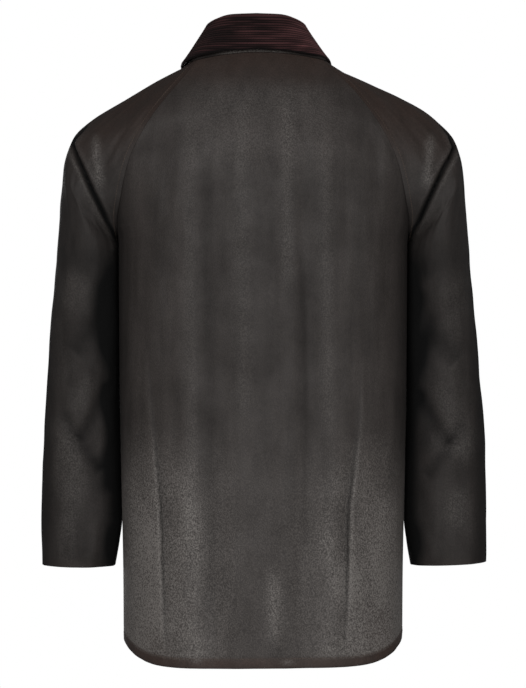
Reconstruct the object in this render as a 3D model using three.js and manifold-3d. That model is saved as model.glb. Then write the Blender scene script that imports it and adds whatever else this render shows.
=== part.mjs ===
// A hip-length waxed cotton jacket with raglan sleeves and a corduroy turn-down collar, filled out as
// if worn. Millimetres, +Z up, the front faces -Y and the wearer's left is +X. The origin is the
// middle of the neck opening, level with the centre-back collar seam.
import * as THREE from 'three';
import Module from 'manifold-3d';
import { mergeVertices } from 'three/addons/utils/BufferGeometryUtils.js';

const CLOTH = 2.0;
const SEAM_GAP = 0.45;
const COLLAR_LEAN = 9;
const NECK_LEAN = 4;
const NECK_APART = 1.2;
const RIDGE_LEAN_END = 0.32;

// Rows of a table, given as lists in the order of its named columns.
const namedRows = (columns, rows) =>
  rows.map((row) => Object.fromEntries(columns.map((column, k) => [column, row[k]])));

// The back: one row for each height. Centre and edge points, and the roundness across.
const BACK_SECTIONS = [
  { zC: -779, yC: 139, xE: 181, yE: 0, zE: -751, p: 2.8, m: 0.36, q: 8 },
  { zC: -700, yC: 136, xE: 182, yE: 0, zE: -684, p: 2.8, m: 0.36, q: 6 },
  { zC: -550, yC: 130, xE: 183.5, yE: 0, zE: -543, p: 2.8, m: 0.36, q: 4 },
  { zC: -400, yC: 127, xE: 186, yE: 0, zE: -400, p: 2.8, m: 0.36, q: 4 },
  { zC: -250, yC: 127, xE: 187, yE: 0, zE: -250, p: 2.8, m: 0.36, q: 4 },
  { zC: -215, yC: 126, xE: 187, yE: 42, zE: -223, p: 2.8, m: 0.55, q: 3 },
  { zC: -165, yC: 122, xE: 181, yE: 72, zE: -185, p: 2.6, m: 0.75, q: 2.5 },
  { zC: -120, yC: 112, xE: 170, yE: 84, zE: -140, p: 2.3, m: 0.9, q: 2 },
  { zC: -80, yC: 98, xE: 150, yE: 82, zE: -98, p: 2, m: 1, q: 2 },
  { zC: -40, yC: 79, xE: 122, yE: 66, zE: -57, p: 2, m: 1, q: 2 },
  { zC: 0, yC: 48, xE: 80, yE: 40, zE: -9, p: 2, m: 1, q: 2 },
];

// The fronts, in the same columns.
const FRONT_SECTIONS = [
  { zC: -768, yC: -137, xE: 181, yE: 0, zE: -751, p: 2.8, m: 0.36, q: 8 },
  { zC: -700, yC: -134, xE: 182, yE: 0, zE: -684, p: 2.8, m: 0.36, q: 6 },
  { zC: -550, yC: -130, xE: 183.5, yE: 0, zE: -543, p: 2.8, m: 0.36, q: 4 },
  { zC: -400, yC: -128, xE: 186, yE: 0, zE: -400, p: 2.8, m: 0.36, q: 4 },
  { zC: -250, yC: -124, xE: 187, yE: 0, zE: -250, p: 2.8, m: 0.36, q: 4 },
  { zC: -222, yC: -121, xE: 183, yE: -40, zE: -222, p: 2.6, m: 0.55, q: 3 },
  { zC: -188, yC: -116, xE: 173, yE: -66, zE: -182, p: 2.4, m: 0.75, q: 2.5 },
  { zC: -158, yC: -110, xE: 158, yE: -74, zE: -145, p: 2.2, m: 0.9, q: 2 },
  { zC: -130, yC: -103, xE: 138, yE: -74, zE: -112, p: 2, m: 1, q: 2 },
  { zC: -102, yC: -94, xE: 110, yE: -66, zE: -78, p: 2, m: 1, q: 2 },
  { zC: -75, yC: -82, xE: 75, yE: -52, zE: -38, p: 2, m: 1, q: 2 },
];

// The raglan yoke from neck (u 0) to underarm (u 1): its rows on back and front, the shoulder ridge,
// the direction in which the cloth leaves each seam (plan and rise, degrees), and the curve's pull.
const YOKE_LEAVE = ['bPlan', 'bRise', 'fPlan', 'fRise', 'pull', 'top'];
const YOKE_COLUMNS = ['u', 'back', 'front', 'rx', 'ry', 'rz', ...YOKE_LEAVE];
const YOKE_ROWS = namedRows(YOKE_COLUMNS, [
  [0, 0, -75, 88, -2, -10.5, -25, -5, 38, 37, 9, 17],
  [1 / 6, -40, -102, 141, -2, -35, -37, 16, 32, 29, 24, 28],
  [2 / 6, -80, -130, 180, -2, -56.5, -26, 23, 29, 29, 32, 40],
  [3 / 6, -120, -158, 219, -2, -80, -12, 15, 15, 22, 40, 51],
  [4 / 6, -165, -188, 247, -2, -107.5, 12, 10, -10, 12, 55, 66],
  [5 / 6, -215, -222, 258.5, -1, -146, 50, 5, -50, 5, 80, 87],
  [1, -250, -250, 262.6, 0, -187, 90, 0, -90, 0, 104, 104],
]);

// The arm from underarm (u 1) to cuff (u 2): inner and outer lines, middle and half-depth.
const ARM_SECTIONS = [
  { u: 1, xi: 187.45, zi: -250, xo: 262.6, zo: -187, y: 0, deep: 78 },
  { u: 1.12, xi: 188.2, zi: -300, xo: 267, zo: -250, y: -4, deep: 72 },
  { u: 1.27, xi: 187.8, zi: -360, xo: 274, zo: -325, y: -9, deep: 66 },
  { u: 1.44, xi: 187.0, zi: -430, xo: 280, zo: -408, y: -13, deep: 60 },
  { u: 1.61, xi: 185.8, zi: -500, xo: 284.5, zo: -488, y: -16, deep: 56 },
  { u: 1.76, xi: 184.6, zi: -560, xo: 286, zo: -553, y: -19, deep: 53 },
  { u: 1.86, xi: 184.1, zi: -600, xo: 286, zo: -596, y: -21, deep: 51 },
  { u: 1.93, xi: 187, zi: -630, xo: 286.5, zo: -628, y: -22, deep: 50 },
  { u: 2, xi: 190.5, zi: -662, xo: 287, zo: -660, y: -24, deep: 49 },
];

// Two step-like drape folds of the back, each with its place and strength down the jacket.
const FOLD_COLUMNS = ['z', 'x', 'tall'];
const STEP_FOLDS = [
  {
    side: 1,
    path: namedRows(FOLD_COLUMNS, [
      [-400, 152, 0.3],
      [-485, 143, 1.5],
      [-560, 137, 4],
      [-625, 132, 5],
      [-690, 131, 3],
      [-752, 128, 0.4],
    ]),
  },
  {
    side: -1,
    path: namedRows(FOLD_COLUMNS, [
      [-415, 129, 0.3],
      [-485, 123, 1.5],
      [-560, 114, 4],
      [-625, 110, 5],
      [-690, 109, 3],
      [-752, 107, 0.4],
    ]),
  },
];
const STEP_SHARP = 4;
const STEP_FADE = 30;

// Soft upright flutes of the back: place across, height (below zero is a valley) and width.
const FLUTES_DOWN = { start: 90, full: 240, easeFrom: 640, easeTo: 770, ease: 0.35 };
const RELIEF_EDGE = { across: 0.08, start: 20, full: 90 };
const BACK_FLUTES = [
  { x: 96, tall: 1.8, wide: 17 },
  { x: 68, tall: -2.4, wide: 18 },
  { x: 27, tall: 1.6, wide: 18 },
  { x: -30, tall: 2.0, wide: 13 },
  { x: -54, tall: -2.8, wide: 12 },
  { x: -84, tall: 1.8, wide: 16 },
];
const FRONT_FLUTES = [
  { x: 62, tall: -2.2, wide: 20 },
  { x: 112, tall: 1.8, wide: 18 },
  { x: -48, tall: 1.6, wide: 16 },
  { x: -92, tall: -2.2, wide: 20 },
];

// Folds of the sleeve, as lines down it: the deep one from the shoulder to the underarm, seen at the
// back, its softer partner in front, and the drag folds above and below the elbow.
const linePoints = (points) => namedRows(['x', 'z'], points);
const DEEP_LINE = linePoints([[247, -112], [234, -145], [219, -175], [203, -208], [190, -236]]);
const PARTNER_LINE = linePoints([[240, -128], [222, -162], [203, -200], [191, -232]]);
const SLEEVE_FOLDS = [
  { face: 1, deep: 10, wide: 14, line: DEEP_LINE },
  { face: -1, deep: 7, wide: 14, line: PARTNER_LINE },
  { face: 1, deep: 3.5, wide: 16, line: linePoints([[200, -330], [222, -372], [252, -398]]) },
  { face: -1, deep: 4, wide: 16, line: linePoints([[198, -405], [228, -432], [262, -440]]) },
  { face: -1, deep: 3.5, wide: 16, line: linePoints([[204, -352], [232, -384], [264, -402]]) },
];
const FOLD_END = 0.12;
const FOLD_END_SHARE = 0.25;
const FOLD_RIM = 0.22;
const SLEEVE_EDGE = { across: 0.22, ridge: 0.12 };

// The collar from centre back (f 0) to centre front (f 1): the middle of the roll and the fall's edge.
const ROLL_RADIUS = 3.6;
const CORD_THICK = 2.0;
const UNDER_THICK = 1.6;
const COLLAR_PARTING = 0.3;
const COLLAR_BASE_GAP = 2.4;
const WALE_HEIGHT = 0.9;
const WALES_FALL = 15;
const WALES_ROLL = 3;
const WALES_INSIDE = 10;
const COLLAR_STATIONS = 18;
const COLLAR_LINES = [
  { f: 0, rx: 0, ry: 34, rz: 45.4, ex: 0, ey: 60, ez: 3 },
  { f: 0.15, rx: 29, ry: 29.5, rz: 44.8, ex: 38, ey: 57.5, ez: 1 },
  { f: 0.3, rx: 49, ry: 15, rz: 41, ex: 73, ey: 51, ez: -2.5 },
  { f: 0.42, rx: 57, ry: -2, rz: 35.5, ex: 94, ey: 29, ez: -5.5 },
  { f: 0.55, rx: 55.5, ry: -24, rz: 24, ex: 97, ey: -10, ez: -9 },
  { f: 0.7, rx: 46, ry: -47, rz: 3, ex: 93, ey: -56, ez: -31 },
  { f: 0.85, rx: 28, ry: -66, rz: -20, ex: 73, ey: -85, ez: -72 },
  { f: 1, rx: 10, ry: -77, rz: -42, ex: 48, ey: -105, ez: -112 },
];

// The zip behind the centre-front edges. Depths run inwards from the outer face of the cloth.
const FRONT_EDGE = 6;
const COLLAR_EDGE = 9;
const CHAIN = { half: 2.1, near: 0.8, far: 3.8 };
const TAPE = { inner: 2.5, outer: 14, near: 2.75, far: 3.55, above: 4 };
const ZIP_TOP = -86;
const ZIP_END = -763;
const SLIDER = { half: 4.6, post: 1.9, long: 13, near: 0.7, slotNear: 2.3, slotFar: 4.1, far: 5.5 };
const BAIL = { wide: 2.2, legs: 3.2, bar: 1.1, proud: 3.4, sunk: 0.5 };
const PULL = { bar: 1.2, window: 5.6, inner: 1.75, outer: 3.1, long: 27, tip: 3.5, round: 3, thick: 1.2 };
const ZIP_CLEAR = 0.35;
const ZIP_ROWS = 20;
const ZIP_CROWDING = 1.8;

const LOOKS = {
  cloth: { color: 0x37332f, roughness: 0.62, metalness: 0 },
  cord: { color: 0x2c1a1b, roughness: 0.9, metalness: 0 },
  tape: { color: 0x231e1a, roughness: 0.85, metalness: 0 },
  brass: { color: 0x8a6a35, roughness: 0.38, metalness: 1 },
};

const wasm = await Module();
wasm.setup();

const V = (x, y, z) => new THREE.Vector3(x, y, z);
const clamp = (value, low, high) => Math.min(high, Math.max(low, value));
const degrees = (value) => (value * Math.PI) / 180;
const bump = (distance, wide) => Math.exp(-((distance / wide) ** 2));
const smooth = (value) => value * value * (3 - 2 * value);
const between = (value, low, high) => smooth(clamp((value - low) / (high - low), 0, 1));

// A smooth curve through a table's rows, read at any place along its key column. It never swings
// past the rows on either side.
function readTable(rows, key, column, place) {
  const sign = rows[rows.length - 1][key] > rows[0][key] ? 1 : -1;
  const at = (k) => rows[k][key] * sign;
  const value = (k) => rows[k][column];
  const last = rows.length - 1;
  const target = clamp(place * sign, at(0), at(last));
  let k = 0;
  while (k < last - 1 && target > at(k + 1)) k += 1;
  const slope = (i) => (value(i + 1) - value(i)) / (at(i + 1) - at(i));
  const tangent = (i) => {
    if (i === 0) return slope(0);
    if (i === last) return slope(last - 1);
    const before = at(i) - at(i - 1);
    const after = at(i + 1) - at(i);
    const weightBefore = 2 * after + before;
    const weightAfter = after + 2 * before;
    if (slope(i - 1) * slope(i) <= 0) return 0;
    return (weightBefore + weightAfter) / (weightBefore / slope(i - 1) + weightAfter / slope(i));
  };
  const width = at(k + 1) - at(k);
  const t = (target - at(k)) / width;
  const rise = value(k + 1) - value(k);
  const bendA = tangent(k) * width - rise;
  const bendB = -tangent(k + 1) * width + rise;
  return value(k) + rise * t + t * (1 - t) * (bendA * (1 - t) + bendB * t);
}

const readRow = (rows, key, columns, place) =>
  Object.fromEntries(columns.map((column) => [column, readTable(rows, key, column, place)]));

const PANEL_COLUMNS = ['zC', 'yC', 'xE', 'yE', 'zE', 'p', 'm', 'q'];

// The back of the neck seam leans a little towards the wearer's left, as the collar does.
const neckLean = (z, y) => NECK_LEAN * between(z, -45, -8) * between(y, -30, 10);

// A point of a body panel's plain surface: t is 0 at the centre line and 1 at the seam.
function panelPoint(sections, height, t) {
  const row = readRow(sections, 'zC', PANEL_COLUMNS, height);
  const a = Math.abs(t);
  const round = Math.max(0, 1 - a ** row.p) ** row.m;
  const y = row.yE + (row.yC - row.yE) * round;
  const z = row.zE + (row.zC - row.zE) * (1 - a ** row.q);
  return V(row.xE * t + neckLean(z, y), y, z);
}

function bezier(a, b, c, d, t) {
  const s = 1 - t;
  return V(0, 0, 0)
    .addScaledVector(a, s * s * s)
    .addScaledVector(b, 3 * s * s * t)
    .addScaledVector(c, 3 * s * t * t)
    .addScaledVector(d, t * t * t);
}

function heading(plan, rise) {
  const flat = Math.cos(degrees(rise));
  return V(Math.cos(degrees(plan)) * flat, Math.sin(degrees(plan)) * flat, Math.sin(degrees(rise)));
}

// A point of a raglan seam on one side, brought over to the left, a little outside the panel's edge.
function seamPoint(sections, height, side, apart, t = side) {
  const edge = panelPoint(sections, height, t);
  return V(edge.x * side + apart, edge.y, edge.z);
}

// A point of the left sleeve's plain surface: w runs from the back seam (-1) over the ridge (0) to
// the front seam (1). Only the neck end of the shoulder follows the collar's lean.
function sleevePoint(u, w, lean) {
  const back = w <= 0;
  const t = 1 - Math.abs(w);
  if (u <= 1) {
    const row = readRow(YOKE_ROWS, 'u', YOKE_COLUMNS.slice(1), u);
    const sections = back ? BACK_SECTIONS : FRONT_SECTIONS;
    const apart = SEAM_GAP * (1 + NECK_APART * (1 - u) ** 3);
    const seam = seamPoint(sections, back ? row.back : row.front, lean < 0 ? -1 : 1, apart);
    const leave = back ? heading(row.bPlan, row.bRise) : heading(row.fPlan, row.fRise);
    const ridge = V(row.rx + lean * (1 - between(u, 0, RIDGE_LEAN_END)), row.ry, row.rz);
    const above = ridge.clone().add(V(0, back ? row.top : -row.top, 0));
    return bezier(seam, seam.clone().addScaledVector(leave, row.pull), above, ridge, t);
  }
  const row = readRow(ARM_SECTIONS, 'u', ['xi', 'zi', 'xo', 'zo', 'y', 'deep'], u);
  const reach = V(0, ((back ? 1 : -1) * row.deep * 4) / 3, 0);
  const inner = V(row.xi, row.y, row.zi);
  const outer = V(row.xo, row.y, row.zo);
  return bezier(inner, inner.clone().add(reach), outer.clone().add(reach), outer, t);
}

// How far the back or front stands out from its plain surface at a place.
function bodyRelief(sections, height, x) {
  const isBack = sections === BACK_SECTIONS;
  const flutes = isBack ? BACK_FLUTES : FRONT_FLUTES;
  const { start, full, easeFrom, easeTo, ease } = FLUTES_DOWN;
  const long = between(-height, start, full) * (1 - ease * between(-height, easeFrom, easeTo));
  let out = 0;
  for (const flute of flutes) out += flute.tall * long * bump(x - flute.x, flute.wide);
  if (!isBack) return out;
  for (const fold of STEP_FOLDS) {
    const place = readTable(fold.path, 'z', 'x', height);
    const inside = height <= fold.path[0].z && height >= fold.path[fold.path.length - 1].z;
    const tall = inside ? readTable(fold.path, 'z', 'tall', height) : 0;
    const across = x * fold.side - place;
    out += 0.5 * tall * Math.tanh(across / STEP_SHARP) * Math.exp(-Math.abs(across) / STEP_FADE);
  }
  return out;
}

function distanceToLine(line, x, z) {
  let best = { away: Infinity, along: 0 };
  for (let k = 0; k + 1 < line.length; k += 1) {
    const dx = line[k + 1].x - line[k].x;
    const dz = line[k + 1].z - line[k].z;
    const t = clamp(((x - line[k].x) * dx + (z - line[k].z) * dz) / (dx * dx + dz * dz), 0, 1);
    const away = Math.hypot(x - line[k].x - dx * t, z - line[k].z - dz * t);
    if (away < best.away) best = { away, along: (k + t) / (line.length - 1) };
  }
  return best;
}

function sleeveRelief(point, face) {
  let out = 0;
  for (const fold of SLEEVE_FOLDS) {
    if (fold.face !== face) continue;
    const { away, along } = distanceToLine(fold.line, point.x, point.z);
    const ends = between(along, 0, FOLD_END) * (1 - between(along, 1 - FOLD_END, 1));
    const trough = FOLD_END_SHARE + (1 - FOLD_END_SHARE) * ends;
    out -= fold.deep * trough * bump(away, fold.wide * 0.6);
    out += fold.deep * FOLD_RIM * ends * bump(away - fold.wide * 1.5, fold.wide * 0.8);
  }
  return out;
}

// Builds a closed wall from a grid of points. Each side stands off the grid by its own distance
// along the surface normal. From mergeRow on, the first and last columns are the same seamless line.
// From sideRow on, the columns named in sides end at a side seam, where the cloth faces straight out.
function wallGeometry(grid, outside, inside, turned, options = {}) {
  const { mergeRow = Infinity, sideRow = Infinity, sides = [] } = options;
  const rows = grid.length;
  const columns = grid[0].length;
  const last = columns - 1;
  const closed = (i) => i >= mergeRow;
  const pick = (i, j) => {
    const row = grid[clamp(i, 0, rows - 1)];
    if (closed(i)) return row[(j + last) % last];
    const end = j < 0 ? 0 : last;
    if (j === clamp(j, 0, last)) return row[j];
    if (i < sideRow || !sides.includes(end === 0 ? 'first' : 'last')) return row[end];
    const beside = row[end === 0 ? 1 : last - 1];
    return V(beside.x, 2 * row[end].y - beside.y, beside.z);
  };
  const normal = (i, j) => {
    const down = pick(i + 1, j).clone().sub(pick(i - 1, j));
    const across = pick(i, j + 1).clone().sub(pick(i, j - 1));
    return down.cross(across).normalize().multiplyScalar(turned ? -1 : 1);
  };
  const positions = [];
  const index = [[], []];
  for (const [side, stand] of [[0, outside], [1, inside]]) {
    for (let i = 0; i < rows; i += 1) {
      index[side].push([]);
      for (let j = 0; j < columns; j += 1) {
        if (closed(i) && j === last) {
          index[side][i].push(index[side][i][0]);
          continue;
        }
        const point = grid[i][j].clone().addScaledVector(normal(i, j), stand);
        index[side][i].push(positions.length / 3);
        positions.push(point.x, point.y, point.z);
      }
    }
  }
  const faces = [];
  const quad = (a, b, c, d) => {
    const order = turned ? [a, b, c, a, c, d] : [a, c, b, a, d, c];
    for (let k = 0; k < 6; k += 3) {
      const [p, q, r] = order.slice(k, k + 3);
      if (p !== q && q !== r && p !== r) faces.push(p, q, r);
    }
  };
  const [outer, inner] = index;
  for (let i = 0; i + 1 < rows; i += 1) {
    for (let j = 0; j < last; j += 1) {
      quad(outer[i][j], outer[i][j + 1], outer[i + 1][j + 1], outer[i + 1][j]);
      quad(inner[i][j], inner[i + 1][j], inner[i + 1][j + 1], inner[i][j + 1]);
    }
    if (i < mergeRow) {
      quad(outer[i][0], outer[i + 1][0], inner[i + 1][0], inner[i][0]);
      quad(outer[i][last], inner[i][last], inner[i + 1][last], outer[i + 1][last]);
    }
  }
  for (let j = 0; j < last; j += 1) {
    quad(outer[0][j], inner[0][j], inner[0][j + 1], outer[0][j + 1]);
    quad(outer[rows - 1][j], outer[rows - 1][j + 1], inner[rows - 1][j + 1], inner[rows - 1][j]);
  }
  const geometry = new THREE.BufferGeometry();
  geometry.setAttribute('position', new THREE.Float32BufferAttribute(positions, 3));
  geometry.setIndex(faces);
  return geometry;
}

// Places along a table's key, with a number of steps for each stretch between rows.
function spread(places, steps) {
  const list = [places[0]];
  for (let k = 0; k + 1 < places.length; k += 1) {
    for (let n = 1; n <= steps[k]; n += 1) {
      list.push(places[k] + ((places[k + 1] - places[k]) * n) / steps[k]);
    }
  }
  return list;
}

const BODY_STEPS = [2, 4, 3, 3];
const YOKE_STEPS = [1, 1, 2, 2, 3, 3];
const ARM_STEPS = [2, 2, 2, 2, 2, 1, 1, 1];
const yokePlaces = spread(YOKE_ROWS.map((row) => row.u), YOKE_STEPS);
const yokeEnd = yokePlaces.length - 1;

// Heights of a panel's rows: down from the neck on the yoke's rows, then on to the hem.
function panelHeights(sections, column) {
  const yoke = yokePlaces.map((u) => readTable(YOKE_ROWS, 'u', column, u));
  const body = spread(sections.slice(0, 5).map((row) => row.zC), BODY_STEPS);
  return [...yoke, ...body.reverse().slice(1)];
}

// Columns across the back: close together at each step fold and towards the round sides.
const FOLD_NEAR = 0.03;
function backPlace(s, height, half) {
  const [left, right] = STEP_FOLDS.map((fold) => (fold.side * readTable(fold.path, 'z', 'x', height)) / half);
  const knots = [
    { s: -1, t: -1 },
    { s: -0.62, t: Math.max(right - FOLD_NEAR, -0.97) },
    { s: -0.5, t: Math.max(right + FOLD_NEAR, -0.9) },
    { s: 0.5, t: Math.min(left - FOLD_NEAR, 0.9) },
    { s: 0.62, t: Math.min(left + FOLD_NEAR, 0.97) },
    { s: 1, t: 1 },
  ];
  let k = 0;
  while (k < knots.length - 2 && s > knots[k + 1].s) k += 1;
  const share = (s - knots[k].s) / (knots[k + 1].s - knots[k].s);
  let eased = share;
  if (k === 0) eased = 1 - Math.cos((share * Math.PI) / 2);
  if (k === knots.length - 2) eased = Math.sin((share * Math.PI) / 2);
  return knots[k].t + (knots[k + 1].t - knots[k].t) * eased;
}

const BACK_COLUMNS = 28;
const FRONT_COLUMNS = 12;
const SLEEVE_COLUMNS = 22;

// A point of a panel with its folds, moved along Z by the share of a seam's gap given as spare.
function reliefPoint(sections, height, t, spare) {
  const step = 0.004;
  const safe = clamp(t, -1 + step, 1 - step);
  const point = panelPoint(sections, height, t);
  const across = panelPoint(sections, height, safe + step).sub(panelPoint(sections, height, safe - step));
  const outward = V(-across.y, across.x, 0).normalize();
  if (outward.y * (sections === BACK_SECTIONS ? 1 : -1) < 0) outward.negate();
  const { across: wide, start, full } = RELIEF_EDGE;
  const edge = between(1 - Math.abs(t), 0, wide) * between(-height, start, full);
  const out = bodyRelief(sections, height, point.x) * edge;
  return point.addScaledVector(outward, out).add(V(0, spare, 0));
}

function backPanel() {
  const grid = panelHeights(BACK_SECTIONS, 'back').map((height, i) => {
    const half = readTable(BACK_SECTIONS, 'zC', 'xE', height);
    return Array.from({ length: BACK_COLUMNS + 1 }, (_, j) => {
      const t = backPlace((2 * j) / BACK_COLUMNS - 1, height, half);
      return reliefPoint(BACK_SECTIONS, height, t, i < yokeEnd ? 0 : SEAM_GAP / 2);
    });
  });
  return wallGeometry(grid, 0, -CLOTH, true, { sideRow: yokeEnd, sides: ['first', 'last'] });
}

function frontPanel(side) {
  const grid = panelHeights(FRONT_SECTIONS, 'front').map((height, i) => {
    const half = readTable(FRONT_SECTIONS, 'zC', 'xE', height);
    return Array.from({ length: FRONT_COLUMNS + 1 }, (_, j) => {
      const share = Math.sin(((j / FRONT_COLUMNS) * Math.PI) / 2);
      const t = FRONT_EDGE / half + (1 - FRONT_EDGE / half) * share;
      return reliefPoint(FRONT_SECTIONS, height, side * t, i < yokeEnd ? 0 : -SEAM_GAP / 2);
    });
  });
  return wallGeometry(grid, 0, -CLOTH, side < 0, { sideRow: yokeEnd, sides: ['last'] });
}

function sleeve(side) {
  const lean = side * COLLAR_LEAN;
  const step = 0.01;
  const places = [...yokePlaces, ...spread(ARM_SECTIONS.map((row) => row.u), ARM_STEPS).slice(1)];
  const grid = places.map((u) =>
    Array.from({ length: SLEEVE_COLUMNS + 1 }, (_, j) => {
      const w = (2 * j) / SLEEVE_COLUMNS - 1;
      const point = sleevePoint(u, w, lean);
      const down = sleevePoint(Math.min(u + step, 2), w, lean);
      down.sub(sleevePoint(Math.max(u - step, 0), w, lean));
      const across = sleevePoint(u, Math.min(w + step, 1), lean);
      across.sub(sleevePoint(u, Math.max(w - step, -1), lean));
      const outward = across.cross(down).normalize();
      const fromSeam = between(1 - Math.abs(w), 0, SLEEVE_EDGE.across);
      const edge = fromSeam * between(Math.abs(w), 0, SLEEVE_EDGE.ridge);
      point.addScaledVector(outward, sleeveRelief(point, w <= 0 ? 1 : -1) * edge);
      point.x *= side;
      return point;
    }),
  );
  return wallGeometry(grid, 0, -CLOTH, side > 0, { mergeRow: yokeEnd });
}

// The whole neck seam of one side, from centre back to centre front, as points at even distances.
function neckSeam(side) {
  const line = [];
  const many = 40;
  const front = FRONT_SECTIONS[FRONT_SECTIONS.length - 1];
  for (let k = 0; k <= many; k += 1) line.push(seamPoint(BACK_SECTIONS, 0, side, 0, (side * k) / many));
  for (let k = 1; k <= 2 * many; k += 1) line.push(sleevePoint(0, k / many - 1, side * COLLAR_LEAN));
  for (let k = many - 1; k >= 0; k -= 1) {
    const x = COLLAR_EDGE + ((front.xE - COLLAR_EDGE) * k) / many;
    line.push(panelPoint(FRONT_SECTIONS, front.zC, x / front.xE));
  }
  const reach = [0];
  for (let k = 1; k < line.length; k += 1) reach.push(reach[k - 1] + line[k].distanceTo(line[k - 1]));
  return (f) => {
    const target = clamp(f, 0, 1) * reach[reach.length - 1];
    let k = 0;
    while (k < line.length - 2 && reach[k + 1] < target) k += 1;
    const share = (target - reach[k]) / (reach[k + 1] - reach[k]);
    const point = line[k].clone().lerp(line[k + 1], share);
    return V(point.x * side, point.y, point.z);
  };
}

const NECK_LINES = { left: neckSeam(1), right: neckSeam(-1) };

// The collar's middle line at station a (-1 right front, 0 centre back, 1 left front): up the stand,
// round the roll and down the fall. Returns a function of s: 0 to 1 stand, to 2 roll, to 3 fall.
function collarLine(a) {
  const f = Math.abs(a);
  const side = a < 0 ? -1 : 1;
  const lean = (place) => COLLAR_LEAN * (1 - between(place, 0.55, 1));
  const centreAt = (place) => {
    const row = readRow(COLLAR_LINES, 'f', ['rx', 'ry', 'rz'], Math.abs(place));
    return V((place < 0 ? -1 : 1) * row.rx + lean(Math.abs(place)), row.ry, row.rz);
  };
  const edgeRow = readRow(COLLAR_LINES, 'f', ['ex', 'ey', 'ez'], f);
  const edge = V(side * edgeRow.ex + lean(f), edgeRow.ey, edgeRow.ez);
  const base = NECK_LINES[side > 0 ? 'left' : 'right'](f);
  const step = 0.02;
  const along = centreAt(Math.min(a + step, 1)).sub(centreAt(Math.max(a - step, -1))).normalize();
  const outward = V(along.y, -along.x, 0).normalize();
  if (outward.dot(V(edge.x - base.x * 0.4, edge.y + 10, 0)) < 0) outward.negate();
  const up = along.clone().cross(outward);
  if (up.z < 0) up.negate();
  const centre = centreAt(a);
  const standTop = centre.clone().addScaledVector(outward, -ROLL_RADIUS);
  const fallTop = centre.clone().addScaledVector(outward, ROLL_RADIUS);
  base.addScaledVector(standTop.clone().sub(base).normalize(), COLLAR_BASE_GAP);
  const standLong = standTop.distanceTo(base) / 3;
  const fallLong = fallTop.distanceTo(edge) / 3;
  const standOut = base.clone().lerp(standTop, 1 / 3);
  const fallOut = edge.clone().lerp(fallTop, 1 / 3);
  const standIn = standTop.clone().addScaledVector(up, -standLong);
  const fallIn = fallTop.clone().addScaledVector(up, -fallLong);
  return (s) => {
    if (s <= 1) return bezier(base, standOut, standIn, standTop, s);
    if (s >= 2) return bezier(fallTop, fallIn, fallOut, edge, s - 2);
    const angle = (s - 1) * Math.PI;
    return centre
      .clone()
      .addScaledVector(outward, -ROLL_RADIUS * Math.cos(angle))
      .addScaledVector(up, ROLL_RADIUS * Math.sin(angle));
  };
}

function collarPoint(a, s, stand) {
  const step = 0.01;
  const line = collarLine(a);
  const point = line(s);
  const before = collarLine(Math.max(a - step, -1));
  const after = collarLine(Math.min(a + step, 1));
  const along = after(s).sub(before(s));
  const down = line(Math.min(s + step, 3)).sub(line(Math.max(s - step, 0)));
  return point.addScaledVector(along.cross(down).normalize(), stand);
}

// Joins sections of one closed outline each into a solid, with a triangulated face at both ends. From
// point returnsAt the outline runs back, and its faces are creased as those of the piece they lie on.
function loft(sections, returnsAt) {
  const count = sections[0].length;
  const positions = sections.flat().flatMap((point) => [point.x, point.y, point.z]);
  const faces = [];
  for (let i = 0; i + 1 < sections.length; i += 1) {
    for (let j = 0; j < count; j += 1) {
      const a = i * count + j;
      const b = i * count + ((j + 1) % count);
      const [overA, overB] = [a + count, b + count];
      if (j < returnsAt - 1) faces.push(a, overB, b, a, overA, overB);
      else faces.push(a, overA, b, b, overA, overB);
    }
  }
  for (const end of [0, sections.length - 1]) {
    const ring = sections[end];
    const facing = V(0, 0, 0);
    ring.forEach((point, k) => facing.add(point.clone().cross(ring[(k + 1) % count])));
    facing.normalize();
    const across = ring[Math.floor(count / 2)].clone().sub(ring[0]);
    across.addScaledVector(facing, -across.dot(facing)).normalize();
    const upright = facing.clone().cross(across);
    const flat = ring.map((point) => new THREE.Vector2(point.dot(across), point.dot(upright)));
    for (const face of THREE.ShapeUtils.triangulateShape(flat, [])) {
      const [p, q, r] = face.map((k) => end * count + k);
      faces.push(...(end === 0 ? [p, q, r] : [p, r, q]));
    }
  }
  const geometry = new THREE.BufferGeometry();
  geometry.setAttribute('position', new THREE.Float32BufferAttribute(positions, 3));
  geometry.setIndex(faces);
  return geometry;
}

const even = (from, to, count) =>
  Array.from({ length: count + 1 }, (_, k) => from + ((to - from) * k) / count);
const stations = even(-1, 1, COLLAR_STATIONS);
const facingPath = [...even(0, 1, 5), ...even(1, 2, 4).slice(1), ...even(2, 3, 6).slice(1)];

// Corduroy on the outside of the middle line: peaks and valleys of the wales outside, plain inside.
function upperCollar() {
  const wales = [
    ...even(0, 1, 2 * WALES_INSIDE),
    ...even(1, 2, 2 * WALES_ROLL).slice(1),
    ...even(2, 3, 2 * WALES_FALL).slice(1),
  ];
  return loft(
    stations.map((a) => [
      ...wales.map((s, k) => collarPoint(a, s, COLLAR_PARTING + CORD_THICK + (k % 2 ? WALE_HEIGHT : 0))),
      ...facingPath.toReversed().map((s) => collarPoint(a, s, COLLAR_PARTING)),
    ]),
    wales.length,
  );
}

function underCollar() {
  return loft(
    stations.map((a) => [
      ...facingPath.map((s) => collarPoint(a, s, -COLLAR_PARTING)),
      ...facingPath.toReversed().map((s) => collarPoint(a, s, -COLLAR_PARTING - UNDER_THICK)),
    ]),
    facingPath.length,
  );
}

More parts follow.
